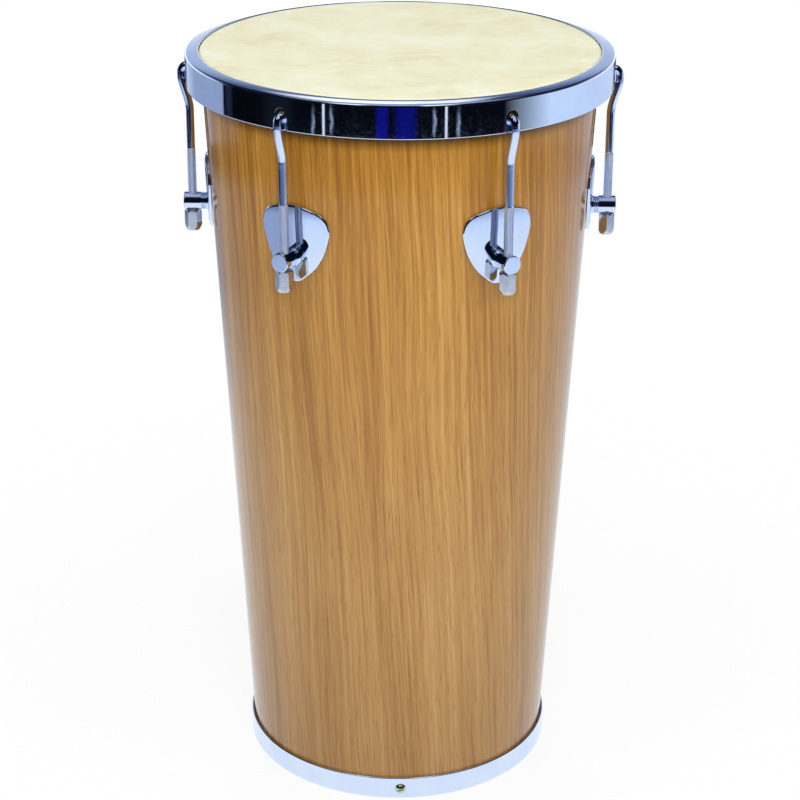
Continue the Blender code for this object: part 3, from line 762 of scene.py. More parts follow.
def bare_ply():
    """Unvarnished inner ply."""
    made, shader, _, parts = new_material("inner_ply")
    across, along = unrolled(*parts)
    bands = grain(across, along, 0.020, 0.350, 8.3, detail=3.0)
    fibres = grain(across, along, 0.0016, 0.045, 4.9, detail=3.0, roughness=0.65)
    tint = linear((198, 160, 112))
    deep, light = [(*(value * share for value in tint[:3]), 1.0) for share in (0.66, 1.22)]
    color = ramp(bands * 0.5 + fibres * 0.5, (0.34, deep), (0.5, tint), (0.66, light))
    dress(shader, color, spread(fibres, 0.3, 0.7, 0.62, 0.78), fibres, 0.4, 0.0002)
    return made


def ply_edge():
    """The shell's cut edges, with the plies showing."""
    made, shader, place, (x, y, z) = new_material("ply_edges")
    plies = ((from_axis(x, y) - z * TAPER) * (math.tau / PLY_PAIR)).apply("SINE")
    rough = noise(place, scale=900.0, detail=3.0)
    color = ramp(
        plies * 0.35 + rough, (0.2, (150, 112, 70)), (0.55, (196, 160, 112)), (0.9, (216, 186, 140)))
    dress(shader, color, spread(rough, 0.3, 0.7, 0.55, 0.75), rough, 0.3, 0.0002)
    return made


def hide():
    """Natural goat skin: cream, cloudy and faintly fibrous."""
    made, shader, place, (x, y, z) = new_material("goat_hide")
    clouds = noise(place, scale=22.0, detail=4.0, roughness=0.6, distortion=0.6)
    fibres = noise(vector(x * 90.0, y * 260.0, z), detail=4.0, roughness=0.65, distortion=0.5)
    grit = noise(place, scale=700.0)
    color = ramp(
        clouds * 0.7 + fibres * 0.3, (0.30, (224, 216, 174)), (0.46, (237, 233, 197)),
        (0.60, (243, 242, 214)), (0.74, (246, 247, 229)))
    dress(shader, color, spread(grit, 0.3, 0.7, 0.42, 0.60), fibres + grit * 0.4, 0.15, 0.0003)
    feed_all(shader, Subsurface_Weight=0.15, Subsurface_Scale=0.3)
    shader.inputs["Subsurface Radius"].default_value = (0.004, 0.003, 0.0015)
    return made


def plated(name, light, dark, smoothest, roughest, waviness, scale=45.0, metallic=1.0):
    """A plated metal: faint clouding, fine haze and the slight waviness of its sheet."""
    made, shader, place, _ = new_material(name)
    clouds = noise(place, scale=scale, detail=4.0, roughness=0.6)
    haze = noise(place, scale=scale * 12, detail=3.0)
    color = ramp(clouds, (0.3, dark), (0.7, light))
    dress(shader, color, spread(haze, 0.35, 0.75, smoothest, roughest), clouds, waviness, 0.0004)
    feed_all(shader, Metallic=metallic)
    return made


LOOKS = {
    "wood": veneer(),
    "ply": bare_ply(),
    "edge": ply_edge(),
    "skin": hide(),
    "chrome": plated("chrome", (224, 235, 254), (214, 226, 250), 0.02, 0.06, 0.02),
    "satin": plated("satin_nickel", (214, 217, 222), (190, 194, 202), 0.10, 0.20, 0.06, 120.0),
    "thread": plated("dull_thread", (226, 236, 255), (212, 223, 250), 0.08, 0.15, 0.06, 220.0, 0.72),
    "steel": plated("zinc_steel", (196, 198, 202), (168, 170, 176), 0.24, 0.42, 0.15, 160.0),
    "yellow_zinc": plated("yellow_zinc", (226, 226, 168), (176, 196, 190), 0.16, 0.30, 0.10, 420.0),
}


def show(piece, look, body, slot, *nodes):
    """Gives a piece its finish and body, and lets it stand for its nodes. Its slot is not used."""
    if not piece.data.materials:
        piece.data.materials.append(LOOKS[look])
    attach(piece, body)
    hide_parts(*nodes)


def show_copies(master, name, places, look, body, slot, node):
    """One piece for each place, all with the master's mesh. Braces in the body stand for its number."""
    mesh = master.data
    bpy.data.objects.remove(master)
    for i, place in enumerate(places, start=1):
        show(add_object(f"{name}_{i}", mesh, place), look, body.format(i), slot, f"{node}_{i}")


def make_shell():
    """Plywood shell with a rounded bearing edge, eased foot and drilled wall."""
    inside = shell_radius(ROUND_HEIGHT) - SHELL_WALL
    crest = ROUND_RADIUS - BEARING_FLAT
    over_screws = RING_SCREW_HEIGHT + RING_SCREW
    outline = arc((ROUND_RADIUS, ROUND_HEIGHT), BEARING_ROUND, math.pi / 2, 0, 8)
    for height in (LUG_HEIGHT + BOLT, LUG_HEIGHT - BOLT, *SHELL_LOOPS, over_screws):
        outline.append((shell_radius(height), height))
    foot = SHELL_FOOT + SHELL_FOOT_ROUND
    outer = shell_radius(foot) - SHELL_FOOT_ROUND
    inner = shell_radius(foot) - SHELL_WALL + SHELL_FOOT_ROUND
    outline += arc((outer, foot), SHELL_FOOT_ROUND, 0, -math.pi / 2, 4)
    outline += arc((inner, foot), SHELL_FOOT_ROUND, -math.pi / 2, -math.pi, 4)
    for height in (over_screws, LUG_HEIGHT - BOLT, LUG_HEIGHT + BOLT, SHELL_TOP - crest + inside):
        outline.append((shell_radius(height) - SHELL_WALL, height))
    outline.append((crest, SHELL_TOP))
    shell = turned("shell_wall", outline)
    cutters = []
    for azimuths, bore, height in (
            (LUG_AZIMUTHS, BOLT_BORE, LUG_HEIGHT),
            (RING_SCREW_AZIMUTHS, RING_SCREW_BORE, RING_SCREW_HEIGHT)):
        cutters += bores(bore, azimuths, height, shell_radius(height) - SHELL_WALL / 2, SHELL_WALL)
    cut(shell, cutters)
    for look in ("wood", "ply", "edge"):
        shell.data.materials.append(LOOKS[look])
    for face in shell.data.polygons:
        depth = shell_radius(face.center.z) - math.hypot(face.center.x, face.center.y)
        if depth > SHELL_WALL - SHELL_EDGE_MARGIN:
            face.material_index = 1
        elif depth > SHELL_EDGE_MARGIN:
            face.material_index = 2
    show(shell, "wood", "root", "wood", "shell")


def make_skin():
    """Skin over the bearing edge, tucked round its flesh hoop."""
    middle = HEIGHT - SKIN / 2
    round_over = BEARING_ROUND + CLEARANCE + SKIN / 2
    path = [(radius, middle) for radius in SKIN_LOOPS]
    path += arc((ROUND_RADIUS, ROUND_HEIGHT), round_over, math.pi / 2, 0, 10)
    path += arc((WIRE_RADIUS, WIRE_HEIGHT), WRAP_MIDDLE, math.pi, math.pi + TUCK_ANGLE, 24)
    skin = turned("skin_head", thicken(path, SKIN), closed=False)
    show(skin, "skin", "head", "skin", "head_skin")


def make_flesh_hoop():
    """Wire ring inside the skin's tuck."""
    ring = turned("flesh_wire", arc((WIRE_RADIUS, WIRE_HEIGHT), FLESH_WIRE / 2, 0, math.tau, 16)[:-1])
    show(ring, "steel", "head", "steel", "flesh_hoop")


def make_counterhoop():
    """Pressed rim with rolled-smooth sheet edges and deburred hook holes."""
    bend = HOOP_CORNER - HOOP_SHEET / 2
    corner = BAND_MIDDLE - bend
    flange_end = corner + bend * math.sin(FLANGE_SLOPE)
    corner_height = flange_height(flange_end) - bend * math.cos(FLANGE_SLOPE)
    path = []
    for share in np.linspace(0, 1, 17)[:-1]:
        radius = LIP_RADIUS + (flange_end - LIP_RADIUS) * share
        path.append((radius, flange_height(radius) + FLANGE_CROWN * math.sin(math.pi * share)))
    path += arc((corner, corner_height), bend, math.pi / 2 - FLANGE_SLOPE, 0, 10)
    beside_hole = HOOK_HOLE * 0.6
    for height in (HOOK_HOLE_HEIGHT + beside_hole, HOOK_HOLE_HEIGHT - beside_hole, HOOP_BOTTOM):
        path.append((BAND_MIDDLE, height))
    outline = thicken(path, HOOP_SHEET, end_steps=8)
    hoop = turned("rim_hoop", outline)
    cut(hoop, bores(HOOK_HOLE, LUG_AZIMUTHS, HOOK_HOLE_HEIGHT, BAND_MIDDLE, 4 * HOOP_SHEET, 48))
    bevel(hoop, HOLE_ROUND)
    exact_normals(hoop, outline)
    show(hoop, "chrome", "head", "chrome", "counterhoop")


def hook_path():
    """(radius, height) along the hook, from its threaded end to its tail."""
    bend_height = hook_bend_height()
    jog_bottom = HOOP_BOTTOM + HOOK_JOG_RISE - HOOK_JOG
    leg = BAND_MIDDLE + HOOK_BEND
    tail = BAND_MIDDLE - HOOK_BEND
    count = round(ROD_THREAD_LENGTH / THREAD_STEP)
    heights = [ROD_END + ROD_THREAD_LENGTH * i / count for i in range(count + 1)]
    heights += list(np.linspace(THREAD_TOP + THREAD_TO_PLAIN, jog_bottom - PLAIN_TO_JOG, 8))
    path = [(ROD_RADIUS, height) for height in heights]
    for share in np.linspace(0, 1, 25):
        ease = (1 - math.cos(math.pi * share)) / 2
        path.append((ROD_RADIUS + (leg - ROD_RADIUS) * ease, jog_bottom + HOOK_JOG * share))
    path += arc((BAND_MIDDLE, bend_height), HOOK_BEND, 0, math.pi, 28)
    path += [(tail, bend_height - HOOK_TAIL * share) for share in (0.3, 0.6, 0.9, 0.95, 1.0)]
    return path


def thread_radius(distance, angle):
    """Radius of a right-hand thread at a distance from its end, and round it."""
    phase = (distance / THREAD_PITCH - angle / math.tau) % 1.0
    crest = np.clip(0.5 + THREAD_STEEPNESS * (0.5 - np.abs(2 * phase - 1)), 0, 1)
    fade = np.clip((ROD_THREAD_LENGTH - distance) / THREAD_PITCH, 0, 1)
    major = ROD / 2 + (ROD_THREAD - ROD) / 2 * fade
    cone = np.clip(1 - distance / THREAD_END, 0, 1) * THREAD_DEPTH
    return np.minimum(major - THREAD_DEPTH * (1 - crest) * fade, ROD_THREAD / 2 - cone)


def make_hook():
    """Bent rod with its thread, swept along its path in the plane of azimuth 0."""
    path = np.array(hook_path())
    travelled = np.concatenate([[0.0], np.cumsum(np.linalg.norm(np.diff(path, axis=0), axis=1))])
    tangent = unit_rows(np.gradient(path, travelled, axis=0))
    angles = np.arange(ROD_SIDES) * math.tau / ROD_SIDES
    tail_round = np.clip((travelled - travelled[-1] + HOOK_TAIL_ROUND) / HOOK_TAIL_ROUND, 0, 1)
    points = []
    for (radius, height), (out, up), distance, close in zip(path, tangent, travelled, tail_round):
        size = np.full(ROD_SIDES, ROD / 2)
        if distance <= ROD_THREAD_LENGTH:
            size = thread_radius(distance, angles)
        size = size - HOOK_TAIL_ROUND * (1 - math.sqrt(1 - close ** 2))
        side = size * np.sin(angles)
        front = size * np.cos(angles)
        points.extend(zip(side, -(radius + up * front), height - out * front))
    faces = ring_faces(len(path), ROD_SIDES, False)
    faces.append(tuple(range(ROD_SIDES))[::-1])
    faces.append(tuple(range(len(points) - ROD_SIDES, len(points))))
    hook = add_object("hook", mesh_from("hook", points, faces))
    for look in ("chrome", "thread"):
        hook.data.materials.append(LOOKS[look])
    for face in hook.data.polygons:
        face.material_index = int(face.center.z < THREAD_TOP)
    places = [Matrix.Rotation(azimuth, 4, "Z") for azimuth in LUG_AZIMUTHS]
    show_copies(hook, "hook", places, "chrome", "head", "chrome", "tension_hook")


def chamfered(flats, length, chamfer):
    """Top half of the outline that a hexagon is turned to: a 45 degree cone on its corners."""
    corner = corner_radius(flats)
    half = length / 2
    return [(0, half), (corner - chamfer, half), (corner + CLEARANCE, half - chamfer - CLEARANCE)]


def tapered_end():
    """Lower half of the tuning nut's outline: a steep cone with a round end."""
    corner = corner_radius(NUT_FLATS)
    half = NUT_LENGTH / 2
    lean = math.atan(NUT_END_INSET / NUT_END)
    middle = corner - NUT_END_INSET + NUT_END_ROUND * (math.sin(lean) - 1) / math.cos(lean)
    outline = [(corner + CLEARANCE, NUT_END - half + CLEARANCE / math.tan(lean))]
    outline += arc((middle, NUT_END_ROUND - half), NUT_END_ROUND, -lean, -math.pi / 2, 6)
    return outline + [(0, -half)]


def turned_hexagon(name, flats, length, outline, bore=0.0):
    """A nut or bolt head: a hexagon with its ends turned to an outline and its edges eased."""
    nut = rod(name, 2 * corner_radius(flats), length, sides=6)
    cut(nut, [turned("turning", outline, SMALL_STEPS, closed=False)], "INTERSECT")
    if bore:
        cut(nut, [rod("drill", bore, 2 * length)])
    bevel(nut, EDGE_BREAK, HEXAGON_BEVEL_ANGLE, 2)
    return nut


def make_tuning_nut():
    outline = chamfered(NUT_FLATS, NUT_LENGTH, NUT_CHAMFER) + tapered_end()
    nut = turned_hexagon("nut", NUT_FLATS, NUT_LENGTH, outline, ROD_BORE)
    places = []
    for azimuth, turn in zip(LUG_AZIMUTHS, NUT_TURNS):
        spot = Matrix.Translation(polar(ROD_RADIUS, azimuth, NUT_TOP - NUT_LENGTH / 2))
        places.append(spot @ Matrix.Rotation(azimuth + math.radians(30 + turn), 4, "Z"))
    show_copies(nut, "nut", places, "satin", "nut_{}", "chrome", "tuning_nut")


def dome_matrix(growth):
    """Takes a unit sphere to the ellipsoid of the plate's front, in the plate's own frame."""
    middle = (PLATE_RISE - PLATE_DROP) / 2
    across = math.sqrt(PLATE_RADIUS_ACROSS * PLATE_DOME_DEPTH) + growth
    upward = math.sqrt(PLATE_RADIUS_UP * PLATE_DOME_DEPTH) + growth
    size = Matrix.Diagonal((across, upward, PLATE_DOME_DEPTH + growth, 1.0))
    lean = Matrix.Rotation(math.atan(TAPER), 4, "X")
    depth = shell_radius(LUG_HEIGHT + middle) - LUG_RADIUS + PLATE_PROUD - PLATE_DOME_DEPTH
    return Matrix.Translation((0, middle, depth)) @ lean @ size


def plate_front(x, y):
    """Height of the dome over the plate's own plane."""
    back = dome_matrix(0.0).inverted()
    start = back @ Vector((x, y, 0.0))
    step = (back @ Vector((x, y, 1.0))) - start
    a = step.dot(step)
    b = start.dot(step)
    c = start.dot(start) - 1
    return (-b + math.sqrt(b * b - a * c)) / a


def plate_back(x, y):
    """Height of the plate's back, one clearance off the shell."""
    radius = shell_radius(LUG_HEIGHT + y) + CLEARANCE
    return math.sqrt(radius ** 2 - x ** 2) - LUG_RADIUS


def plate_rim():
    """Points of the pick outline, from a smooth closed curve through its knots."""
    half = PLATE_WIDTH / 2
    right = [(x * half, y * (PLATE_RISE if y > 0 else PLATE_DROP)) for x, y in PLATE_OUTLINE]
    knots = right + [(-x, y) for x, y in right[-2:0:-1]]
    curve = bpy.data.curves.new("rim", "CURVE")
    curve.dimensions = "3D"
    curve.resolution_u = 12
    spline = curve.splines.new("BEZIER")
    spline.bezier_points.add(len(knots) - 1)
    for knot, (x, y) in zip(spline.bezier_points, knots):
        knot.co = (x, y, 0)
        knot.handle_left_type = "AUTO"
        knot.handle_right_type = "AUTO"
    spline.use_cyclic_u = True
    rim = add_object("rim", curve)
    points = np.array([v.co[:2] for v in evaluated_mesh(rim).vertices])
    bpy.data.objects.remove(rim)
    around = unit_rows(np.roll(points, -1, axis=0) - np.roll(points, 1, axis=0))
    return points, np.stack([around[:, 1], -around[:, 0]], axis=1)


def make_lug_plate():
    """Domed pick plate with a rounded edge, its back on the shell, and its bolt hole."""
    rim, inward = plate_rim()
    hole = unit_rows(rim) * BOLT_BORE / 2
    centre = rim + inward * PLATE_EDGE_ROUND
    slope = np.array([
        math.atan2(plate_front(*spot) - plate_front(*(spot - way * EDGE_BREAK)), EDGE_BREAK)
        for spot, way in zip(centre, inward)])
    edge = centre - inward * PLATE_EDGE_ROUND * np.sin(slope)[:, None]
    depth = np.array([plate_front(*spot) for spot in edge]) - PLATE_EDGE_ROUND * np.cos(slope)
    points = []
    for share in (*np.linspace(0, 0.93, 13), 0.985, 1.0):
        points += [(x, y, plate_front(x, y)) for x, y in hole + (edge - hole) * share]
    for step in range(1, 9):
        angle = slope + (math.pi / 2 - slope) * step / 8
        spots = centre - inward * PLATE_EDGE_ROUND * np.sin(angle)[:, None]
        points += [(*spot, z) for spot, z in zip(spots, depth + PLATE_EDGE_ROUND * np.cos(angle))]
    for lift, inset in ((EDGE_BREAK, 0.0), (EDGE_BREAK * 0.3, EDGE_BREAK * 0.3), (0.0, EDGE_BREAK)):
        points += [(x, y, plate_back(x, y) + lift) for x, y in rim + inward * inset]
    for share in np.linspace(0.1, 1, 8):
        points += [(x, y, plate_back(x, y)) for x, y in rim + (hole - rim) * share]
    faces = ring_faces(len(points) // len(rim), len(rim), True)
    plate = add_object("plate", mesh_from("lug_plate", points, faces))
    show_copies(plate, "plate", LUG_PLACES, "chrome", "root", "chrome", "lug_plate")


def post_outline():
    """Half section of the post, with round-bottomed ring grooves."""
    radius = POST / 2
    length = POST_END - LUG_RADIUS
    outline = [(0, length), (radius * 0.5, length)]
    outline += arc((radius - POST_CHAMFER, length - POST_CHAMFER), POST_CHAMFER, math.pi / 2, 0, 6)
    top = ROD_RADIUS - POST_RING_GAP - LUG_RADIUS
    outline.append((radius, top + POST_RING_MARGIN))
    for i in range(POST_RING_COUNT):
        for share in np.linspace(0, 1, 9)[:-1]:
            dip = POST_RING_DEPTH * math.sin(math.pi * share) ** 2
            outline.append((radius - dip, top - (i + share) * POST_RING_PITCH))
    return outline + [(radius, top - POST_RING_COUNT * POST_RING_PITCH), (radius, 0.0), (0, 0)]


def make_lug_post():
    """Turned post with its rod bore, nut seat and blind bolt bore, its foot on the plate's dome."""
    outline = post_outline()
    post = turned("post", outline, 96, closed=False)
    place = radial_frame(LUG_RADIUS, 0, LUG_HEIGHT)
    post.matrix_world = place
    dome = add_primitive(
        "dome", bmesh.ops.create_uvsphere, place @ dome_matrix(CLEARANCE),
        u_segments=192, v_segments=96, radius=1.0)
    axis = Matrix.Translation(polar(ROD_RADIUS, 0, LUG_HEIGHT))
    cross = rod("cross", ROD_BORE, 2 * POST, axis, 48)
    under = Matrix.Translation(polar(ROD_RADIUS, 0, NUT_TOP + CLEARANCE - POST / 2))
    seat = rod("seat", 2 * corner_radius(NUT_FLATS) + 4 * CLEARANCE, POST, under)
    start = LUG_RADIUS - POST
    middle = (start + BOLT_BORE_END) / 2
    [blind] = bores(BOLT_BORE, (0,), LUG_HEIGHT, middle, BOLT_BORE_END - middle)
    for cutter in (dome, cross, seat, blind):
        cut(post, [cutter])
    exact_normals(post, outline, closed=False)
    show_copies(post, "post", LUG_PLACES, "chrome", "root", "chrome", "lug_post")


def solid_wall(height):
    """Smallest radius inside the wall of the solid model, whose shell has fewer facets."""
    return (shell_radius(height) - SHELL_WALL - CLEARANCE) * math.cos(math.pi / SOLID_SHELL_STEPS)


def washer_seat():
    """Largest radius at which a flat washer clears the tapered, hollow wall."""
    reach = WASHER_DIAMETER / 2
    furthest = []
    for angle in evenly(12, 0.0):
        wall = solid_wall(LUG_HEIGHT + reach * math.sin(angle))
        furthest.append(math.sqrt(wall ** 2 - (reach * math.cos(angle)) ** 2))
    return min(furthest)


def make_washer():
    """Flat washer against the wall, inside the shell."""
    hole = BOLT_BORE / 2
    rim = WASHER_DIAMETER / 2
    washer = turned("washer", [(hole, 0), (rim, 0), (rim, -WASHER), (hole, -WASHER)], 64)
    bevel(washer, EDGE_BREAK, segments=2)
    places = radial_frames(washer_seat(), LUG_AZIMUTHS, LUG_HEIGHT)
    show_copies(washer, "washer", places, "steel", "root", "steel", "lug_washer")


def make_bolt():
    """Hexagon bolt that holds a post from inside."""
    under_head = washer_seat() - WASHER - CLEARANCE
    shank = BOLT_BORE_END - CLEARANCE - under_head
    overlap = BOLT_HEAD / 2
    outline = chamfered(BOLT_HEAD_FLATS, BOLT_HEAD, BOLT_CHAMFER)
    outline += [(BOLT_HEAD_FLATS, -BOLT_HEAD), (0, -BOLT_HEAD)]
    bolt = turned_hexagon("bolt", BOLT_HEAD_FLATS, BOLT_HEAD, outline)
    bolt.data.transform(Matrix.Translation((0, 0, -overlap)) @ Matrix.Rotation(math.pi, 4, "X"))
    place = Matrix.Translation((0, 0, (shank - overlap) / 2))
    cut(bolt, [rod("shaft", BOLT, shank + overlap, place, 32)], "UNION")
    places = radial_frames(under_head, LUG_AZIMUTHS, LUG_HEIGHT)
    show_copies(bolt, "bolt", places, "steel", "root", "steel", "lug_bolt")


def make_bottom_ring():
    """L-shaped ring with eased sheet edges and its screw holes."""
    bend = RING_CORNER - RING_SHEET / 2
    low = RING_SHEET / 2
    path = [(RING_MIDDLE - RING_LIP, low), (RING_MIDDLE - RING_LIP / 2, low)]
    path += arc((RING_MIDDLE - bend, low + bend), bend, -math.pi / 2, 0, 8)
    for height in (RING_SCREW_HEIGHT - RING_SCREW, RING_SCREW_HEIGHT + RING_SCREW, RING_HEIGHT):
        path.append((RING_MIDDLE, height))
    outline = thicken(path, RING_SHEET, end_steps=8)
    ring = turned("foot_ring", outline)
    cut(ring, bores(RING_SCREW_BORE, RING_SCREW_AZIMUTHS, RING_SCREW_HEIGHT, RING_MIDDLE, 3 * RING_SHEET))
    exact_normals(ring, outline)
    show(ring, "chrome", "root", "chrome", "bottom_ring")


def ring_nut_seat():
    """Radius of the face of a ring nut, against the tapered inner wall."""
    reach = corner_radius(RING_NUT_FLATS)
    return math.sqrt(solid_wall(RING_SCREW_HEIGHT - reach) ** 2 - reach ** 2)


def make_ring_screw():
    """Slotted round-head screw through the ring and the shell."""
    head = RING_SCREW_HEAD / 2
    dome_radius = (head ** 2 + RING_SCREW_HEAD_RISE ** 2) / (2 * RING_SCREW_HEAD_RISE)
    centre = (0.0, RING_SCREW_HEAD_RISE - dome_radius)
    edge = math.asin(min(-centre[1] / dome_radius, 1.0))
    outline = arc(centre, dome_radius, math.pi / 2, edge, 14)
    outline[0] = (0.0, RING_SCREW_HEAD_RISE)
    shank = RING_OUTSIDE + CLEARANCE - ring_nut_seat() + RING_NUT + RING_SCREW_SPARE
    outline += [(RING_SCREW / 2, 0), (RING_SCREW / 2, -shank + RING_SCREW_POINT)]
    outline += [(RING_SCREW / 2 - RING_SCREW_POINT, -shank), (0, -shank)]
    screw = turned("screw", outline, 48, closed=False)
    size = Matrix.Diagonal((2 * RING_SCREW_HEAD, RING_SCREW_SLOT, 2 * RING_SCREW_SLOT_DEPTH, 1.0))
    turn = Matrix.Rotation(RING_SCREW_TURN, 4, "Z")
    lift = Matrix.Translation((0, 0, RING_SCREW_HEAD_RISE))
    cut(screw, [add_primitive("slot", bmesh.ops.create_cube, lift @ turn @ size, size=1.0)])
    places = radial_frames(RING_OUTSIDE + CLEARANCE, RING_SCREW_AZIMUTHS, RING_SCREW_HEIGHT)
    show_copies(screw, "screw", places, "yellow_zinc", "root", "yellow_zinc", "ring_screw")


def make_ring_nut():
    """Nut of a ring screw, inside the shell."""
    upper = chamfered(RING_NUT_FLATS, RING_NUT, RING_NUT_CHAMFER)
    outline = upper + [(radius, -height) for radius, height in upper[::-1]]
    nut = turned_hexagon("inner_nut", RING_NUT_FLATS, RING_NUT, outline, RING_SCREW_BORE)
    places = radial_frames(ring_nut_seat() - RING_NUT / 2, RING_SCREW_AZIMUTHS, RING_SCREW_HEIGHT)
    show_copies(nut, "inner_nut", places, "steel", "root", "steel", "ring_nut")


def make_camera():
    data = bpy.data.cameras.new("camera")
    data.lens = CAMERA_LENS
    data.sensor_width = CAMERA_SENSOR
    data.clip_start = 0.05
    turn = Matrix.Rotation(-CAMERA_YAW, 4, "Z") @ Matrix.Rotation(math.pi / 2 - CAMERA_PITCH, 4, "X")
    turn = turn @ Matrix.Rotation(CAMERA_ROLL, 4, "Z")
    spot = Matrix.Translation((0, -CAMERA_DISTANCE, CAMERA_HEIGHT))
    place = Matrix.Rotation(CAMERA_AZIMUTH, 4, "Z") @ spot @ turn
    bpy.context.scene.camera = add_object("camera", data, place)


def soft_box(name, spot, aim_height, width, depth, power):
    """Area lamp that mirrors don't see, aimed at a height on the drum's axis."""
    data = bpy.data.lights.new(name, "AREA")
    data.shape = "RECTANGLE"
    data.size = width
    data.size_y = depth
    data.energy = power
    lamp = add_object(name, data)
    lamp.location = spot
    lamp.rotation_euler = (Vector((0, 0, aim_height)) - Vector(spot)).to_track_quat("-Z", "Y").to_euler()
    lamp.visible_glossy = False


def bare_nodes(owner):
    """The emptied node tree of a material or a world."""
    owner.use_nodes = True
    owner.node_tree.nodes.clear()
    return owner.node_tree


def ray_kinds(tree):
    """1 for rays that see the white backdrop, from the camera or in glass, and 1 for rays in mirrors."""
    path = tree.nodes.new("ShaderNodeLightPath").outputs
    return Wire(path["Is Camera Ray"]) + Wire(path["Is Transmission Ray"]), Wire(path["Is Glossy Ray"])


def band(value, low, high, edge_low, edge_high):
    """1 between two values, with soft edges of their own widths."""
    rise = spread(value, low - edge_low / 2, low + edge_low / 2)
    return rise * spread(value, high - edge_high / 2, high + edge_high / 2, 1.0, 0.0)


def horizon(azimuth):
    """What mirrors see where the floor ends: darkest on the left."""
    return ramp(
        spread(azimuth, -180, 180),
        (0.0, (34, 38, 60)), (0.24, (36, 40, 64)), (0.34, (84, 100, 134)), (0.50, (100, 118, 152)),
        (0.67, (142, 160, 196)), (0.80, (186, 198, 224)), (1.0, (186, 198, 224)))


def floor_in_mirrors(distance, azimuth):
    """The floor's glow in mirrors: it dims with distance, more on the left, and ends in the horizon."""
    glow = ramp(
        distance / FLOOR_RADIUS, (0.0, (247, 251, 255)), (0.30, (244, 249, 255)),
        (0.64, (240, 248, 255)), (0.78, (228, 240, 255)), (0.85, (216, 232, 255)))
    left = band(azimuth, *FLOOR_SHADE) * spread(distance, 0.55, 0.95)
    glow = mixed(left, glow, (158, 173, 202))
    return mixed(spread(distance, 1.26, 1.40), glow, horizon(azimuth))


def make_floor():
    """Round pale floor, white to the eye, that keeps the drum's soft shadow."""
    floor = turned("floor", [(radius, 0.0) for radius in FLOOR_LOOPS], 96, closed=False)
    made = bpy.data.materials.new("studio_floor")
    tree = bare_nodes(made)
    place, (x, y, _) = coordinates(tree)
    seen, glossy = ray_kinds(tree)
    tone = noise(place, scale=3.0, detail=3.0)
    tone = ramp(tone, (0.0, (0.64, 0.66, 0.70, 1.0)), (1.0, (0.68, 0.70, 0.74, 1.0)))
    paper = add_node(tree, "ShaderNodeBsdfDiffuse", Color=mixed(seen, tone, (0.95, 0.95, 0.96, 1.0)))
    distance = from_axis(x, y)
    mirrored = floor_in_mirrors(distance, in_degrees(bearing(x, y)))
    glow = add_node(tree, "ShaderNodeEmission", Color=mixed(glossy, WHITE, mirrored))
    share = glossy.apply("MAXIMUM", seen * spread(distance, 0.25, 0.75, 0.86, 1.0))
    feed_all(tree.nodes.new("ShaderNodeOutputMaterial"), Surface=blended(share, paper, glow))
    floor.data.materials.append(made)
    floor.location.z = -FLOOR_DROP


def rear_wall(azimuth, rise):
    """The studio's rear: a white band under a dark room, with a narrow strip that lights the rim's flange."""
    rear = ramp(
        spread(rise, -10, 90),
        (0.02, (214, 226, 248)), (0.10, WHITE), (0.16, (250, 252, 255)), (0.24, (186, 200, 228)),
        (0.28, (172, 188, 216)), (0.31, (138, 152, 182)), (0.34, (96, 108, 138)),
        (0.37, (62, 72, 98)), (0.42, (34, 42, 62)), (1.0, (18, 22, 34)))
    strip = spread(azimuth * -1.0, 171.2, 174.6) + spread(azimuth, 175.6, 177.6, 0.0, 0.8)
    rear = mixed(strip * band(rise, *STRIP_HAZE_RISE), rear, (104, 106, 134))
    return mixed(strip * band(rise, *STRIP_RISE), rear, WHITE)


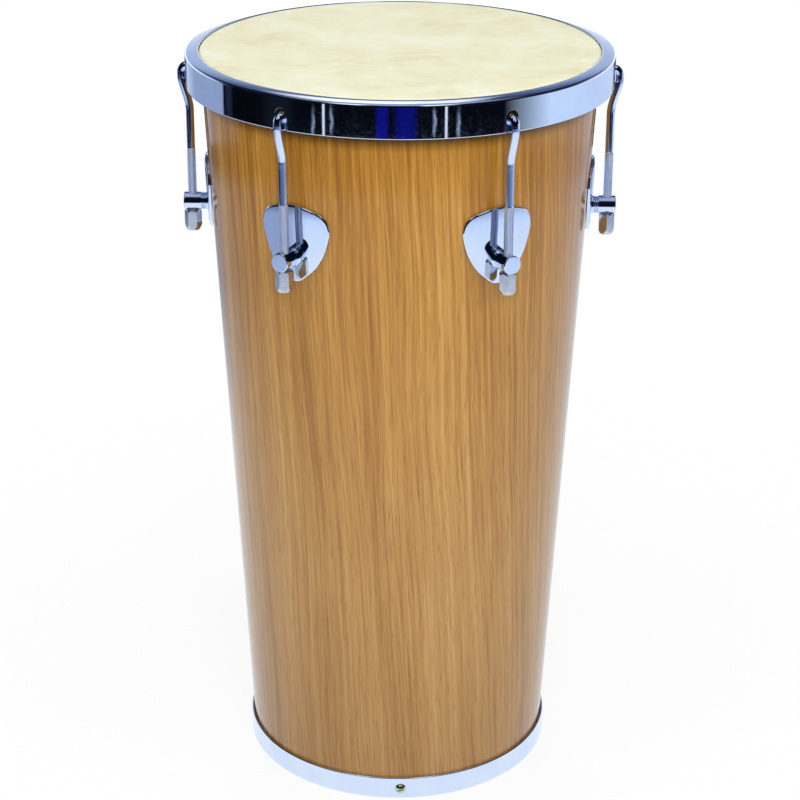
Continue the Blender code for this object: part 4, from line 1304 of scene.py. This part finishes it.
def studio(azimuth, rise):
    """What mirrors see round the floor: pale low walls, a dark room above them, and soft boxes in it."""
    side = azimuth.apply("ABSOLUTE")
    walls = ramp(
        spread(rise, -20, 20),
        (0.0, (222, 238, 255)), (0.45, (214, 228, 250)), (0.62, (150, 164, 196)),
        (0.80, (60, 68, 92)), (1.0, (24, 28, 42)))
    walls = mixed(band(azimuth, *DARK_WALL) * band(rise, *DARK_WALL_RISE), walls, (10, 13, 22))
    room = mixed(spread(side, 105, 125), walls, rear_wall(azimuth, rise))
    ceiling = spread(rise, 54, 70)
    boxes = band(azimuth, *LEFT_BOX) + band(azimuth, *RIGHT_BOX)
    foot = band(rise, *FOOT_RISE)
    for share, color in (
            (band(azimuth, *LEFT_SHADE) * band(rise, *LEFT_SHADE_RISE), (158, 172, 200)),
            (ceiling, (176, 188, 212)),
            (boxes * band(rise, *BOX_RISE), WHITE),
            (band(azimuth, *FRONT_FOOT) * foot, (6, 8, 14)),
            (band(side, *REAR_FOOT) * foot, (16, 20, 30))):
        room = mixed(share, room, color)
    swing = (rise * GAP_SWING).apply("SINE")
    for middle, width, color, wave, bottom, top in STUDIO_GAPS:
        soft = width * 0.4
        across = band(azimuth + swing * wave, middle - width / 2, middle + width / 2, soft, soft)
        room = mixed(across * band(rise, bottom, top, 0.1, 0.1), room, color)
    return mixed(spread(rise, -17.0, -16.6, 1.0, 0.0), room, horizon(azimuth))


def make_world():
    """Even light for the surfaces, white for the eye, and a studio for the mirrors."""
    world = bpy.data.worlds.new("studio")
    bpy.context.scene.world = world
    tree = bare_nodes(world)
    _, (x, y, z) = coordinates(tree, "Generated")
    rise = in_degrees(z.apply("ARCSINE"))
    seen, glossy = ray_kinds(tree)
    low_glow, high_glow = [band(rise, *edges) for edges in GLOW_RISES]
    even = add_node(tree, "ShaderNodeBackground", Color=WHITE, Strength=AMBIENT)
    white = add_node(tree, "ShaderNodeBackground", Color=WHITE)
    reflected = add_node(
        tree, "ShaderNodeBackground", Color=studio(in_degrees(bearing(x, y)), rise),
        Strength=(low_glow + high_glow) * ROOM_GLOW + 1.0)
    light = blended(seen, blended(glossy, even, reflected), white)
    feed_all(tree.nodes.new("ShaderNodeOutputWorld"), Surface=light)


make_shell()
make_skin()
make_flesh_hoop()
make_counterhoop()
make_hook()
make_tuning_nut()
make_lug_plate()
make_lug_post()
make_washer()
make_bolt()
make_bottom_ring()
make_ring_screw()
make_ring_nut()
make_camera()
make_floor()
make_world()
for name, lamp in LAMPS.items():
    soft_box(name, *lamp)

bpy.context.scene.view_settings.view_transform = "Standard"
